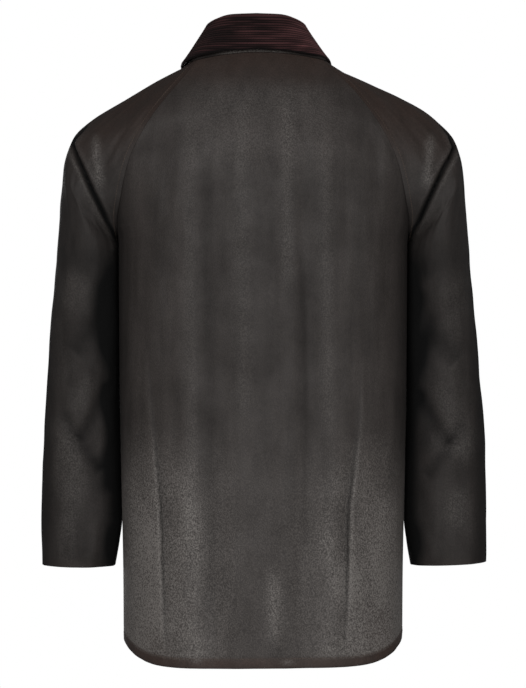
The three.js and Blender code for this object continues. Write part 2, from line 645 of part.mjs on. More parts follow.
// A strip of the zip that follows the centre-front line, between two places across and two depths.
function zipStrip(fromX, toX, near, far, top, end) {
  const heights = even(0, 1, ZIP_ROWS).map((share) => top + (end - top) * share ** ZIP_CROWDING);
  const grid = heights.map((height) =>
    [fromX, toX].map((x) => {
      const half = readTable(FRONT_SECTIONS, 'zC', 'xE', height);
      return panelPoint(FRONT_SECTIONS, height, x / half);
    }),
  );
  return wallGeometry(grid, -near, -far, false);
}

function solidOf(geometry) {
  const plain = geometry.clone();
  plain.deleteAttribute('normal');
  plain.deleteAttribute('uv');
  const merged = mergeVertices(plain, 1e-4);
  const triVerts = merged.index
    ? new Uint32Array(merged.index.array)
    : Uint32Array.from({ length: merged.attributes.position.count }, (_, k) => k);
  const vertProperties = merged.attributes.position.array;
  return new wasm.Manifold(new wasm.Mesh({ numProp: 3, vertProperties, triVerts }));
}

function geometryOf(solid) {
  const mesh = solid.getMesh();
  const geometry = new THREE.BufferGeometry();
  geometry.setAttribute('position', new THREE.BufferAttribute(new Float32Array(mesh.vertProperties), 3));
  geometry.setIndex(Array.from(mesh.triVerts));
  return geometry;
}

// A block of the zip in its own frame: X across, Y depth inwards (near to far), Z along the chain.
const block = (wide, near, far, tall) =>
  solidOf(new THREE.BoxGeometry(wide, far - near, tall).translate(0, (near + far) / 2, 0));

function slottedBlock() {
  const { half, post, long, near, slotNear, slotFar, far } = SLIDER;
  const plates = block(2 * half, near, slotNear, long).add(block(2 * half, slotFar, far, long));
  return plates.add(block(2 * post, near, far, long));
}

function sliderGeometry() {
  const tall = 2 * BAIL.legs + BAIL.bar;
  const top = SLIDER.near - BAIL.proud;
  const arch = block(BAIL.wide, top, SLIDER.near + BAIL.sunk, tall);
  const hole = block(2 * BAIL.wide, top + BAIL.bar, SLIDER.near, tall - 2 * BAIL.bar);
  return geometryOf(slottedBlock().add(arch.subtract(hole)));
}

// The pull hangs from its cross-bar, which is at the middle of its own frame.
function pullGeometry() {
  const outline = new THREE.Shape();
  outline.moveTo(-PULL.outer, PULL.bar / 2);
  outline.lineTo(-PULL.outer, -PULL.window - PULL.bar);
  outline.lineTo(-PULL.tip, -PULL.long + PULL.round);
  outline.quadraticCurveTo(-PULL.tip, -PULL.long, 0, -PULL.long);
  outline.quadraticCurveTo(PULL.tip, -PULL.long, PULL.tip, -PULL.long + PULL.round);
  outline.lineTo(PULL.outer, -PULL.window - PULL.bar);
  outline.lineTo(PULL.outer, PULL.bar / 2);
  const window = new THREE.Path();
  window.moveTo(-PULL.inner, -PULL.bar / 2);
  window.lineTo(PULL.inner, -PULL.bar / 2);
  window.lineTo(PULL.inner, -PULL.window);
  window.lineTo(-PULL.inner, -PULL.window);
  outline.holes.push(window);
  const settings = { depth: PULL.thick, bevelEnabled: false, curveSegments: 8 };
  const geometry = new THREE.ExtrudeGeometry(outline, settings);
  return geometry.translate(0, 0, -PULL.thick / 2).rotateX(Math.PI / 2);
}

// Where a zip piece sits: on the centre-front line, leaning back with the cloth there.
function frontPlace(height) {
  const reach = SLIDER.long / 2;
  const here = panelPoint(FRONT_SECTIONS, height, 0);
  const above = panelPoint(FRONT_SECTIONS, height + reach, 0);
  const below = panelPoint(FRONT_SECTIONS, height - reach, 0);
  const lean = Math.atan2(above.y - below.y, above.z - below.z);
  return { here, lean };
}

const jacket = new THREE.Group();

function addPiece(name, geometry, look) {
  const mesh = new THREE.Mesh(geometry, new THREE.MeshStandardMaterial(LOOKS[look]));
  mesh.name = name;
  jacket.add(mesh);
  return mesh;
}

function seatOnFront(mesh, height, depth) {
  const { here, lean } = frontPlace(height);
  mesh.rotation.x = -lean;
  mesh.position.copy(here).add(V(0, Math.cos(lean) * depth, -Math.sin(lean) * depth));
}

addPiece('back', backPanel(), 'cloth');
addPiece('front_left', frontPanel(1), 'cloth');
addPiece('front_right', frontPanel(-1), 'cloth');
addPiece('sleeve_left', sleeve(1), 'cloth');
addPiece('sleeve_right', sleeve(-1), 'cloth');
addPiece('upper_collar', upperCollar(), 'cord');
addPiece('under_collar', underCollar(), 'cloth');

const sliderHeight = ZIP_TOP - SLIDER.long / 2;
const chainTop = ZIP_TOP - SLIDER.long - ZIP_CLEAR;
const chainEnd = ZIP_END + SLIDER.long + ZIP_CLEAR;
const tapeTop = ZIP_TOP + TAPE.above;
addPiece('zip_tape_left', zipStrip(TAPE.inner, TAPE.outer, TAPE.near, TAPE.far, tapeTop, ZIP_END), 'tape');
addPiece('zip_tape_right', zipStrip(-TAPE.outer, -TAPE.inner, TAPE.near, TAPE.far, tapeTop, ZIP_END), 'tape');
addPiece('zip_chain', zipStrip(-CHAIN.half, CHAIN.half, CHAIN.near, CHAIN.far, chainTop, chainEnd), 'brass');
seatOnFront(addPiece('zip_slider', sliderGeometry(), 'brass'), sliderHeight, 0);
seatOnFront(addPiece('zip_box', geometryOf(slottedBlock()), 'brass'), ZIP_END + SLIDER.long / 2, 0);
const pullDepth = SLIDER.near - (BAIL.proud - BAIL.bar) / 2;
seatOnFront(addPiece('zip_pull', pullGeometry(), 'brass'), sliderHeight, pullDepth);

export default jacket;
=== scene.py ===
"""A waxed cotton jacket, filled out as if worn: its cloth, corduroy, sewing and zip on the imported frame.

Lengths in the tables are millimetres in the frame's own axes: the front faces -Y, +Z is up and the
wearer's left is +X. Meshes are made in metres.
"""

import math

import bpy
import numpy as np
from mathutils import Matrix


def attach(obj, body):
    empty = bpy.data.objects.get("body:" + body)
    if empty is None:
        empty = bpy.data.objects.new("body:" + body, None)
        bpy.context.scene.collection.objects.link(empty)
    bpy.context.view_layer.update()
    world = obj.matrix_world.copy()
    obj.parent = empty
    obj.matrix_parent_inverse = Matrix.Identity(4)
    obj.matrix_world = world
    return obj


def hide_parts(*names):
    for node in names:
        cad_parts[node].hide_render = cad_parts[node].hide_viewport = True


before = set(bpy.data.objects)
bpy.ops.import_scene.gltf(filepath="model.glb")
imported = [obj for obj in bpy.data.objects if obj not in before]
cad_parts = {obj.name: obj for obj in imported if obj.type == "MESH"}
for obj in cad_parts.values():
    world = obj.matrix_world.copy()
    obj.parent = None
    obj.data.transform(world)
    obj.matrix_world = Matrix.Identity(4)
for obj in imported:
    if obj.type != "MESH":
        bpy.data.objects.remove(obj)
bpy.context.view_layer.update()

MM = 0.001

# Cut of the jacket.
SEAM_GAP = 0.3
COLLAR_LEAN = 9.0
NECK_LEAN = 4.0
NECK_APART = 0.3
RIDGE_LEAN_END = 0.32
CUFF_LEAN = 1.3
CUFF_BOW = {1: 1.7, -1: 0.2}
CUFF_RISE = {1: 0.4, -1: 3.2}
HEM_DROP = 0.5
HEM_DROP_SLOPE = 0.009
CUFF_LEAN_FROM = 1.3
CUFF_FROM = 1.6
SHOULDER_DROP = {1: 2.2, -1: 1.2}
SHOULDER_DROP_FROM = {1: 0.4, -1: 0.1}
SHOULDER_DROP_LONG = 0.22
RIGHT_SHOULDER_RISE = 2.6
RIGHT_SHOULDER_AT = 0.42
RIGHT_SHOULDER_WIDE = 0.13
CLOTH_THICK = 1.1


def table(columns, rows):
    """A table with named columns."""
    numbers = np.array(rows, dtype=float)
    return {name: numbers[:, k] for k, name in enumerate(columns.split())}


BACK = table("zC yC xE yE zE p m q", [
    (-779, 139, 180.4, 0, -751, 2.8, 0.36, 8),
    (-700, 136, 180.8, 0, -684, 2.8, 0.36, 6),
    (-550, 130, 183.5, 0, -543, 2.8, 0.36, 4),
    (-400, 127, 186, 0, -400, 2.8, 0.36, 4),
    (-250, 127, 187, 0, -250, 2.8, 0.36, 4),
    (-215, 126, 187, 42, -223, 2.8, 0.55, 3),
    (-165, 122, 181, 72, -185, 2.6, 0.75, 2.5),
    (-120, 112, 170, 84, -140, 2.3, 0.9, 2),
    (-80, 98, 150, 82, -98, 2, 1, 2),
    (-40, 79, 122, 66, -57, 2, 1, 2),
    (0, 48, 80, 40, -9, 2, 1, 2),
])
FRONT = table("zC yC xE yE zE p m q", [
    (-768, -137, 180.4, 0, -751, 2.8, 0.36, 8),
    (-700, -134, 180.8, 0, -684, 2.8, 0.36, 6),
    (-550, -130, 183.5, 0, -543, 2.8, 0.36, 4),
    (-400, -128, 186, 0, -400, 2.8, 0.36, 4),
    (-250, -124, 187, 0, -250, 2.8, 0.36, 4),
    (-222, -121, 183, -40, -222, 2.6, 0.55, 3),
    (-188, -116, 173, -66, -182, 2.4, 0.75, 2.5),
    (-158, -110, 158, -74, -145, 2.2, 0.9, 2),
    (-130, -103, 138, -74, -112, 2, 1, 2),
    (-102, -94, 110, -66, -78, 2, 1, 2),
    (-75, -82, 75, -52, -38, 2, 1, 2),
])
YOKE = table("u back front rx ry rz bPlan bRise fPlan fRise pull top", [
    (0, 0, -75, 88, -2, -10.5, -25, -5, 38, 37, 9, 17),
    (1 / 6, -40, -102, 141, -2, -35, -37, 16, 32, 29, 24, 28),
    (2 / 6, -80, -130, 180, -2, -56.5, -26, 23, 29, 29, 32, 40),
    (3 / 6, -120, -158, 219, -2, -80, -12, 15, 15, 22, 40, 51),
    (4 / 6, -165, -188, 247, -2, -107.5, 12, 10, -10, 12, 55, 66),
    (5 / 6, -215, -222, 258.5, -1, -146, 50, 5, -50, 5, 80, 87),
    (1, -250, -250, 262.6, 0, -187, 90, 0, -90, 0, 104, 104),
])
ARM = table("u xi zi xo zo y deep", [
    (1, 187.45, -250, 262.6, -187, 0, 78),
    (1.12, 187.1, -300, 267, -250, -4, 72),
    (1.27, 186.75, -360, 274, -325, -9, 66),
    (1.44, 187, -430, 281.5, -408, -13, 60),
    (1.61, 185.8, -500, 287.5, -488, -16, 56),
    (1.76, 184.6, -560, 290, -553, -19, 53),
    (1.86, 184, -600, 290.8, -596, -21, 51),
    (1.93, 187.4, -630, 291, -628, -22, 50),
    (2, 193, -662, 291, -661, -24, 49),
])
COLLAR = table("f rx ry rz ex ey ez flare", [
    (0, 0, 34, 45.4, 0, 55.5, 3, 4),
    (0.15, 29.5, 29.5, 44.8, 38, 53, 1, 10),
    (0.3, 50.5, 15, 40.6, 69.5, 46, -3.8, 22),
    (0.42, 60.3, -2, 33.8, 90, 27, -9.5, 32),
    (0.55, 57, -24, 24, 96.5, -9, -14.6, 36),
    (0.7, 46.5, -47, 3, 92, -56, -31, 36),
    (0.85, 28, -66, -20, 73, -85, -72, 26),
    (1, 10, -77, -42, 48, -105, -112, 16),
])

FRONT_EDGE = 6.0
COLLAR_EDGE = 9.0
ROLL_RADIUS = 3.6
COLLAR_BASE_GAP = 0.3
COLLAR_PARTING = 0.3
RIGHT_EDGE_LIFT = 2.8
CORD_THICK = 2.0
UNDER_THICK = 1.4
WALE_PITCH = 3.7
WALE_HEIGHT = 0.9
FACING_END = 2.96


def smooth(value, low, high):
    """Rises softly from 0 at low to 1 at high."""
    t = np.clip((value - low) / (high - low), 0, 1)
    return t * t * (3 - 2 * t)


def bump(distance, wide):
    """Falls softly from 1 at no distance to near 0 at twice the width."""
    return np.exp(-((distance / wide) ** 2))


def read(rows, key, at):
    """Every column of a table at places along its key, by a curve that never swings past its rows."""
    order = np.argsort(rows[key])
    keys = rows[key][order]
    at = np.clip(at, keys[0], keys[-1])
    k = np.clip(np.searchsorted(keys, at, side="right") - 1, 0, len(keys) - 2)
    width = np.diff(keys)
    t = (at - keys[k]) / width[k]
    before, after = width[:-1], width[1:]
    found = {}
    for name, column in rows.items():
        values = column[order]
        slope = np.diff(values) / width
        first, second = slope[:-1], slope[1:]
        turns = first * second <= 0
        safe_first = np.where(turns, 1, first)
        safe_second = np.where(turns, 1, second)
        mean = 3 * (before + after) / ((2 * after + before) / safe_first + (after + 2 * before) / safe_second)
        tangent = np.concatenate([slope[:1], np.where(turns, 0, mean), slope[-1:]])
        rise = slope[k] * width[k]
        bend_a = tangent[k] * width[k] - rise
        bend_b = rise - tangent[k + 1] * width[k]
        found[name] = values[k] + rise * t + t * (1 - t) * (bend_a * (1 - t) + bend_b * t)
    return found


def points(x, y, z):
    return np.stack(np.broadcast_arrays(x, y, z), axis=-1)


def unit(way):
    return way / np.linalg.norm(way, axis=-1, keepdims=True)


def way_along(line):
    """Distance along a line of points from its first one."""
    return np.concatenate([[0], np.cumsum(np.linalg.norm(np.diff(line, axis=0), axis=1))])


def along_line(at, reach, line):
    """Every column of a line of points at distances along it."""
    return np.stack([np.interp(at, reach, column) for column in line.T], axis=-1)


def way_up(grid):
    """Distance over the cloth from each point down to the last row."""
    return way_across(np.swapaxes(grid, 0, 1)[:, ::-1])[:, ::-1].T


def way_across(grid):
    """Distance over the cloth from the first column to each point."""
    steps = np.linalg.norm(np.diff(grid, axis=1), axis=-1)
    return np.concatenate([np.zeros((grid.shape[0], 1)), np.cumsum(steps, axis=1)], axis=1)


def steps_through(stops, counts):
    """Even steps from stop to stop, with each stop once."""
    parts = [np.linspace(a, b, n + 1)[1:] for a, b, n in zip(stops, stops[1:], counts)]
    return np.concatenate([stops[:1], *parts])


def panel_point(sections, height, t):
    """Points of a body panel's plain surface: t is 0 at the centre line and 1 at the seam."""
    row = read(sections, "zC", height)
    a = np.abs(t)
    y = row["yE"] + (row["yC"] - row["yE"]) * np.maximum(0, 1 - a ** row["p"]) ** row["m"]
    z = row["zE"] + (row["zC"] - row["zE"]) * (1 - a ** row["q"])
    lean = NECK_LEAN * smooth(z, -45, -8) * smooth(y, -30, 10)
    return points(row["xE"] * t + lean, y, z)


def heading(plan, rise):
    plan, rise = np.radians(plan), np.radians(rise)
    return points(np.cos(plan) * np.cos(rise), np.sin(plan) * np.cos(rise), np.sin(rise))


def bezier(a, b, c, d, t):
    s = 1 - t
    return a * s**3 + b * 3 * s * s * t + c * 3 * s * t * t + d * t**3


def seam_point(sections, height, side, apart, t=None):
    """Points of a raglan seam of one side, brought over to the left, a little outside the panel."""
    edge = panel_point(sections, height, side if t is None else t)
    return points(edge[..., 0] * side + apart, edge[..., 1], edge[..., 2])


def sleeve_point(u, w, side):
    """Points of a sleeve's plain surface, brought over to the left: w runs from the back seam (-1)
    over the ridge (0) to the front seam (1), and u from neck (0) past underarm (1) to cuff (2)."""
    u, w = np.broadcast_arrays(u, w)
    t = (1 - np.abs(w))[..., None]
    in_yoke = np.minimum(u, 1)
    row = read(YOKE, "u", in_yoke)
    apart = SEAM_GAP * (1 + NECK_APART * (1 - in_yoke) ** 3)
    lean = side * COLLAR_LEAN * (1 - smooth(in_yoke, 0, RIDGE_LEAN_END))
    drop_from = SHOULDER_DROP_FROM[side]
    drop = SHOULDER_DROP[side] * (1 - smooth(in_yoke, drop_from, drop_from + SHOULDER_DROP_LONG))
    if side < 0:
        drop = drop - RIGHT_SHOULDER_RISE * bump(in_yoke - RIGHT_SHOULDER_AT, RIGHT_SHOULDER_WIDE)
    ridge = points(row["rx"] + lean, row["ry"], row["rz"] - drop)
    halves = []
    for sections, height, sign, leave in (
        (BACK, row["back"], 1, heading(row["bPlan"], row["bRise"])),
        (FRONT, row["front"], -1, heading(row["fPlan"], row["fRise"])),
    ):
        seam = seam_point(sections, height, side, apart)
        above = ridge + points(0, sign * row["top"], 0)
        halves.append(bezier(seam, seam + leave * row["pull"][..., None], above, ridge, t))
    yoke = np.where((w <= 0)[..., None], halves[0], halves[1])
    row = read(ARM, "u", np.maximum(u, 1))
    near_cuff = smooth(u, CUFF_FROM, 2)
    bow = CUFF_BOW[side] * near_cuff * (w <= 0)
    reach = points(0, np.where(w <= 0, 1, -1) * row["deep"], -bow) * 4 / 3
    inner = points(row["xi"], row["y"], row["zi"])
    outer_height = row["zo"] + CUFF_RISE[side] * near_cuff
    cuff_lean = side * CUFF_LEAN * smooth(u, CUFF_LEAN_FROM, CUFF_FROM)
    outer = points(row["xo"] - cuff_lean, row["y"], outer_height)
    arm = bezier(inner, inner + reach, outer + reach, outer, t)
    return np.where((u <= 1)[..., None], yoke, arm)


# Meshes.
def normals_of(grid, closed_from=None):
    """Unit normals of a grid of points, row direction cross column direction."""
    down = np.gradient(grid, axis=0)
    across = np.gradient(grid, axis=1)
    if closed_from is not None:
        wrap = (grid[closed_from:, 1] - grid[closed_from:, -2]) / 2
        across[closed_from:, 0] = wrap
        across[closed_from:, -1] = wrap
    normal = np.cross(down, across)
    length = np.linalg.norm(normal, axis=-1, keepdims=True)
    return normal / np.maximum(length, 1e-9)


def add_to_scene(name, data):
    added = bpy.data.objects.new(name, data)
    bpy.context.scene.collection.objects.link(added)
    return added


def new_object(name, verts, faces, sharp=50):
    """A mesh object, made from points in millimetres, that rides on the jacket."""
    mesh = bpy.data.meshes.new(name)
    mesh.from_pydata((np.asarray(verts) * MM).tolist(), [], faces)
    mesh.validate()
    mesh.shade_smooth()
    mesh.set_sharp_from_angle(angle=math.radians(sharp))
    piece = add_to_scene(name, mesh)
    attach(piece, "jacket")
    return piece


def cloth_wall(name, outside, inside, turned, closed_from=None, masks=None):
    """A closed cloth wall: a fine outside, an inside with every second point, and rims between them.

    From closed_from on, the first and last columns of the grid are one line.
    """
    rows, columns = outside.shape[:2]
    outer = np.arange(rows * columns).reshape(rows, columns)
    inner = outer + rows * columns
    if closed_from is not None:
        outer[closed_from:, -1] = outer[closed_from:, 0]
        inner[closed_from:, -1] = inner[closed_from:, 0]
    coarse = inner[::2, ::2]
    quads = [
        np.stack([outer[:-1, :-1], outer[:-1, 1:], outer[1:, 1:], outer[1:, :-1]], -1).reshape(-1, 4),
        np.stack([coarse[:-1, :-1], coarse[1:, :-1], coarse[1:, 1:], coarse[:-1, 1:]], -1).reshape(-1, 4),
    ]
    triangles = []

    def rim(fine, plain, forward):
        f0, f1, f2 = fine[:-1:2], fine[1::2], fine[2::2]
        c0, c1 = plain[:-1], plain[1:]
        if forward:
            trios = [(f0, c0, f1), (c0, c1, f1), (c1, f2, f1)]
        else:
            trios = [(f0, f1, c0), (f1, c1, c0), (f1, f2, c1)]
        for trio in trios:
            triangles.append(np.stack(trio, -1))

    rim(outer[0], coarse[0], True)
    rim(outer[-1], coarse[-1], False)
    open_rows = rows if closed_from is None else closed_from + 1
    rim(outer[:open_rows, 0], coarse[: open_rows // 2 + 1, 0], False)
    rim(outer[:open_rows, -1], coarse[: open_rows // 2 + 1, -1], True)
    quads = np.concatenate(quads)
    triangles = np.concatenate(triangles)
    if not turned:
        quads = quads[:, ::-1]
        triangles = triangles[:, ::-1]
    verts = np.concatenate([outside.reshape(-1, 3), inside.reshape(-1, 3)])
    used, first = np.unique(np.concatenate([quads.ravel(), triangles.ravel()]), return_inverse=True)
    quads = first[: quads.size].reshape(-1, 4)
    triangles = first[quads.size :].reshape(-1, 3)
    piece = new_object(name, verts[used], quads.tolist() + triangles.tolist())
    for mask, values in (masks or {}).items():
        both = np.concatenate([values.ravel(), values.ravel()])[used].astype(np.float32)
        layer = piece.data.attributes.new(mask, "FLOAT", "POINT")
        layer.data.foreach_set("value", both)
    return piece


LATTICE = 128


def soft_noise(x, y, seed):
    """Smooth noise from -1 to 1 with a grain of one unit, the same on each run."""
    grid = np.random.default_rng(seed).random((LATTICE, LATTICE))
    x, y = np.broadcast_arrays(x, y)
    i, j = np.floor(x).astype(int), np.floor(y).astype(int)
    fx, fy = x - i, y - j
    fx, fy = fx * fx * (3 - 2 * fx), fy * fy * (3 - 2 * fy)

    def corner(a, b):
        return grid[(i + a) % LATTICE, (j + b) % LATTICE]

    low = corner(0, 0) * (1 - fx) + corner(1, 0) * fx
    high = corner(0, 1) * (1 - fx) + corner(1, 1) * fx
    return 2 * (low * (1 - fy) + high * fy) - 1


# Sewing.
STITCH_LONG = 2.5
STITCH_STEP = 3.6
STITCH_WIDE = 0.75
STITCH_TALL = 0.3
STITCH_SUNK = 0.1
STITCH_TAPER = 0.35
STITCH_CORNERS = [
    (a * STITCH_LONG / 2, b * STITCH_WIDE / 2, c)
    for c in (0, 1)
    for a, b in ((-1, -1), (1, -1), (1, 1), (-1, 1))
]
STITCH_FACES = [(3, 2, 1, 0), (4, 5, 6, 7), (0, 1, 5, 4), (1, 2, 6, 5), (2, 3, 7, 6), (3, 0, 4, 7)]
TOPSTITCH = 6.0
HEM_DEEP = 12.0
sewn_lines = []


def sew_at(grid, normal, reach, distance, axis):
    """Keeps the line at one distance along an axis of a grid, points and normals side by side."""
    both = np.moveaxis(np.concatenate([grid, normal], axis=-1), axis, 0)
    reach = np.moveaxis(reach, axis, 0)
    line = []
    for k in range(both.shape[1]):
        order = np.argsort(reach[:, k])
        line.append(along_line(distance, reach[order, k], both[order, k]))
    sewn_lines.append(np.array(line))


def stitch_mesh(lines):
    """Corners and faces of all the stitches, each a short low block on the cloth."""
    verts, faces = [], []
    for line in lines:
        reach = way_along(line[:, :3])
        centres = np.arange(STITCH_STEP, reach[-1] - STITCH_STEP, STITCH_STEP)
        at = along_line(centres, reach, line)
        ahead = along_line(centres + 1, reach, line[:, :3])
        for here, front in zip(at, ahead):
            point, up = here[:3], unit(here[3:])
            along = unit(front - point)
            beside = np.cross(up, along)
            first = len(verts)
            for a, b, c in STITCH_CORNERS:
                flat = (along * a + beside * b) * (1 - STITCH_TAPER * c)
                verts.append(point + flat + up * (c * STITCH_TALL - STITCH_SUNK))
            faces.extend([[first + k for k in face] for face in STITCH_FACES])
    return verts, faces


# Folds of the cloth.
STEP_LEFT = table("z x tall", [
    (-330, 151, 0.0), (-400, 146.5, 1.0), (-480, 138.5, 2.6), (-542, 133, 4.6), (-570, 130.3, 5.6),
    (-628, 127.7, 6.0), (-674, 126.4, 5.6), (-740, 123.4, 2.6), (-756, 123, 0.4),
])
STEP_RIGHT = table("z x tall", [
    (-370, 127, 0.0), (-417, 124, 1.2), (-480, 120, 2.8), (-545, 113, 5.0), (-584, 108.5, 6.0),
    (-636, 107.3, 6.0), (-700, 105.8, 4.6), (-740, 103.8, 2.0), (-756, 103.5, 0.4),
])
BACK_FLUTES = table("x tall wide", [
    (96, 1.8, 17), (68, -2.4, 18), (27, 1.6, 18), (-30, 2.0, 13), (-54, -2.8, 12), (-84, 1.8, 16),
])
FRONT_FLUTES = table("x tall wide", [
    (62, -2.2, 20), (112, 1.8, 18), (-48, 1.6, 16), (-92, -2.2, 20),
])
STEP_SHARP = 2.4
STEP_FADE = 26.0
# Upright bands of painted light on the back: pale on the fold ridges, dark in the troughs and towards the
# sides.
BACK_FOLD_LIGHT = [
    {"x": 91, "wide": 9, "top": 60, "end": 640, "pale": 0.10},
    {"x": 26, "wide": 11, "top": 40, "end": 500, "pale": 0.12},
    {"x": -31, "wide": 8, "top": 40, "end": 330, "pale": 0.20},
    {"x": -80, "wide": 10, "top": 90, "end": 520, "pale": 0.12},
    {"x": -12, "wide": 10, "top": 640, "end": 770, "pale": 0.55},
    {"x": 69, "wide": 9, "top": 120, "end": 760, "pale": -0.20},
    {"x": -52, "wide": 5, "top": 250, "end": 660, "pale": -0.30},
    {"x": 128, "wide": 16, "top": 150, "end": 420, "pale": -0.18},
    {"x": -130, "wide": 18, "top": 150, "end": 420, "pale": -0.22},
]
# Pale spots on the lower back: a painted highlight beside the left step's edge, and pale spots along the hem
# and the lower sides.
PALE_SPOTS = [
    {"x": 83, "z": -771, "wide": 6, "tall": 2.6, "strong": 0.55},
    {"x": -31, "z": -771.5, "wide": 8, "tall": 2.6, "strong": 0.65},
    {"x": 142, "z": -615, "wide": 4, "tall": 16, "strong": 0.45},
    {"x": 158, "z": -676, "wide": 5, "tall": 10, "strong": 0.35},
    {"x": 112, "z": -728, "wide": 4, "tall": 3, "strong": 0.4},
    {"x": -138, "z": -640, "wide": 6, "tall": 22, "strong": 0.35},
    {"x": -150, "z": -702, "wide": 8, "tall": 8, "strong": 0.35},
]


def spots(rows, x, z):
    """Soft spots of a table, added up."""
    out = 0
    for spot in rows:
        across, up = bump(x - spot["x"], spot["wide"]), bump(z - spot["z"], spot["tall"])
        out = out + spot["strong"] * across * up
    return out


def back_steps(x, height):
    """The two upright steps of the back: distance across each, its height, and where it runs."""
    for side, path in ((1, STEP_LEFT), (-1, STEP_RIGHT)):
        row = read(path, "z", height)
        runs = (height <= path["z"].max()) & (height >= path["z"].min())
        yield x * side - row["x"], row["tall"], runs


def body_relief(sections, height, x):
    """How far a body panel stands out from its plain surface."""
    is_back = sections is BACK
    flutes = BACK_FLUTES if is_back else FRONT_FLUTES
    long = smooth(-height, 90, 240) * (1 - 0.35 * smooth(-height, 640, 770))
    out = np.zeros(np.broadcast(height, x).shape)
    for across, tall, wide in zip(flutes["x"], flutes["tall"], flutes["wide"]):
        sway = 4 * np.sin(height / 95 + across)
        out = out + tall * long * bump(x - across - sway, wide)
    if is_back:
        for across, tall, runs in back_steps(x, height):
            step = np.tanh(across / STEP_SHARP) * np.exp(-np.abs(across) / STEP_FADE)
            out = out + 0.5 * tall * runs * step
    seed = 3 if is_back else 5
    slow = soft_noise(x / 26, height / 110, seed)
    fine = soft_noise(x / 12, height / 60, seed + 1)
    return out + 0.7 * slow + 0.4 * fine


def line_distance(line, x, z):
    """Distance to a line of points, with the share of the way along it."""
    best = np.full(x.shape, np.inf)
    share = np.zeros(x.shape)
    for k in range(len(line) - 1):
        (ax, az), (bx, bz) = line[k], line[k + 1]
        dx, dz = bx - ax, bz - az
        t = np.clip(((x - ax) * dx + (z - az) * dz) / (dx * dx + dz * dz), 0, 1)
        away = np.hypot(x - ax - dx * t, z - az - dz * t)
        side = np.sign((x - ax) * dz - (z - az) * dx)
        near = away < np.abs(best)
        best = np.where(near, away * np.where(side == 0, 1, side), best)
        share = np.where(near, (k + t) / (len(line) - 1), share)
    return best, share


FRONT_SLEEVE_FOLDS = [
    {"face": -1, "deep": 9, "wide": 6, "line": [(240, -128), (222, -162), (203, -200), (191, -232)]},
    {"face": -1, "deep": 4, "wide": 9, "line": [(198, -405), (228, -432), (262, -440)]},
    {"face": -1, "deep": 3.5, "wide": 9, "line": [(204, -352), (232, -384), (264, -402)]},
]
DEEP_FOLD = {"face": 1, "deep": 9, "wide": 2.4, "start": 0.85}
LEFT_DEEP_LINE = [
    (229, -93), (242, -106), (247, -115), (243.5, -125), (232, -147), (217, -180), (200, -214),
    (188, -240), (183, -256),
]
RIGHT_DEEP_LINE = [
    (226, -86), (241, -104), (247, -121), (242, -131), (231, -149.5), (219, -173), (203, -207),
    (189, -235), (184, -254),
]
LEFT_FOLDS = [
    {**DEEP_FOLD, "line": LEFT_DEEP_LINE},
    {"face": 1, "deep": 3.0, "wide": 15, "line": [(196, -290), (212, -345), (246, -388)]},
    {"face": 1, "deep": 3.0, "wide": 9, "line": [(196, -420), (214, -462), (238, -500)]},
    {"face": 1, "deep": 2.4, "wide": 8, "line": [(262, -455), (238, -500), (206, -540)]},
    *FRONT_SLEEVE_FOLDS,
]
RIGHT_FOLDS = [
    {**DEEP_FOLD, "line": RIGHT_DEEP_LINE},
    {"face": 1, "deep": 2.8, "wide": 15, "line": [(197, -300), (218, -360), (252, -398)]},
    {"face": 1, "deep": 3.0, "wide": 9, "line": [(196, -430), (216, -468), (242, -505)]},
    {"face": 1, "deep": 2.2, "wide": 8, "line": [(260, -470), (236, -512), (208, -548)]},
    *FRONT_SLEEVE_FOLDS,
]
# A raised ridge on the flap between the raglan seam and the deep fold, with a painted highlight along it.
FLAP_RIDGE = {"line": [(215, -100), (212, -145), (206, -184)], "tall": 2.2, "wide": 6.0, "pale": 1.85}


def sleeve_relief(grid, w, turned_back, folds, seed):
    """How far a sleeve stands out from its plain surface, the share of painted shade in its folds' grooves,
    and the share of painted highlight on their lips and the flap's ridge.
    """
    x, z = grid[..., 0], grid[..., 2]
    out = np.zeros(x.shape)
    groove = np.zeros(x.shape)
    rim = np.zeros(x.shape)
    for fold in folds:
        away, along = line_distance(fold["line"], x, z)
        here = np.where(fold["face"] > 0, w <= 0, w > 0)
        ends = smooth(along, 0, 0.14) * (1 - smooth(along, 0.93, 1))
        trough = (0.25 + 0.75 * ends) * bump(away, fold["wide"])
        lip = ends * bump(np.abs(away) - fold["wide"] * 2.8, fold["wide"] * 1.4)
        shaped = here * smooth(np.abs(w), 0, 0.1)
        if fold["face"] > 0:
            shaped = shaped * turned_back
        out = out + shaped * fold["deep"] * (0.15 * lip - trough)
        strong = min(1, fold["deep"] / 8)
        starts = fold.get("start", 0) * (along < 0.3)
        # The groove share paints shade into the folds; the rim share paints highlights along their lips.
        groove = groove + here * strong * bump(away, fold["wide"]) * np.maximum(ends, starts)
        pale = lip * (1.2 - 0.9 * smooth(along, 0.4, 0.75))
        rim = rim + here * pale * strong * np.where(away > 0, 0.4, 1.2)
    away, along = line_distance(FLAP_RIDGE["line"], x, z)
    ridge = np.where(w <= 0, 1, 0) * bump(away, FLAP_RIDGE["wide"])
    ridge = ridge * smooth(along, 0, 0.25) * (1 - smooth(along, 0.7, 1))
    slow = soft_noise(w * 6.6, z / 60, seed)
    fine = soft_noise(w * 15.6, z / 28, seed + 1)
    out = out + FLAP_RIDGE["tall"] * ridge + 1.2 * slow + 0.6 * fine
    return out * smooth(1 - np.abs(w), 0, 0.1), groove, rim + FLAP_RIDGE["pale"] * ridge


# Pieces of cloth.
PANEL_YOKE_ROWS = 110
PANEL_LOWER_ROWS = 170
BACK_COLUMNS = 261
FRONT_COLUMNS = 91
FINE_PLACES = 400


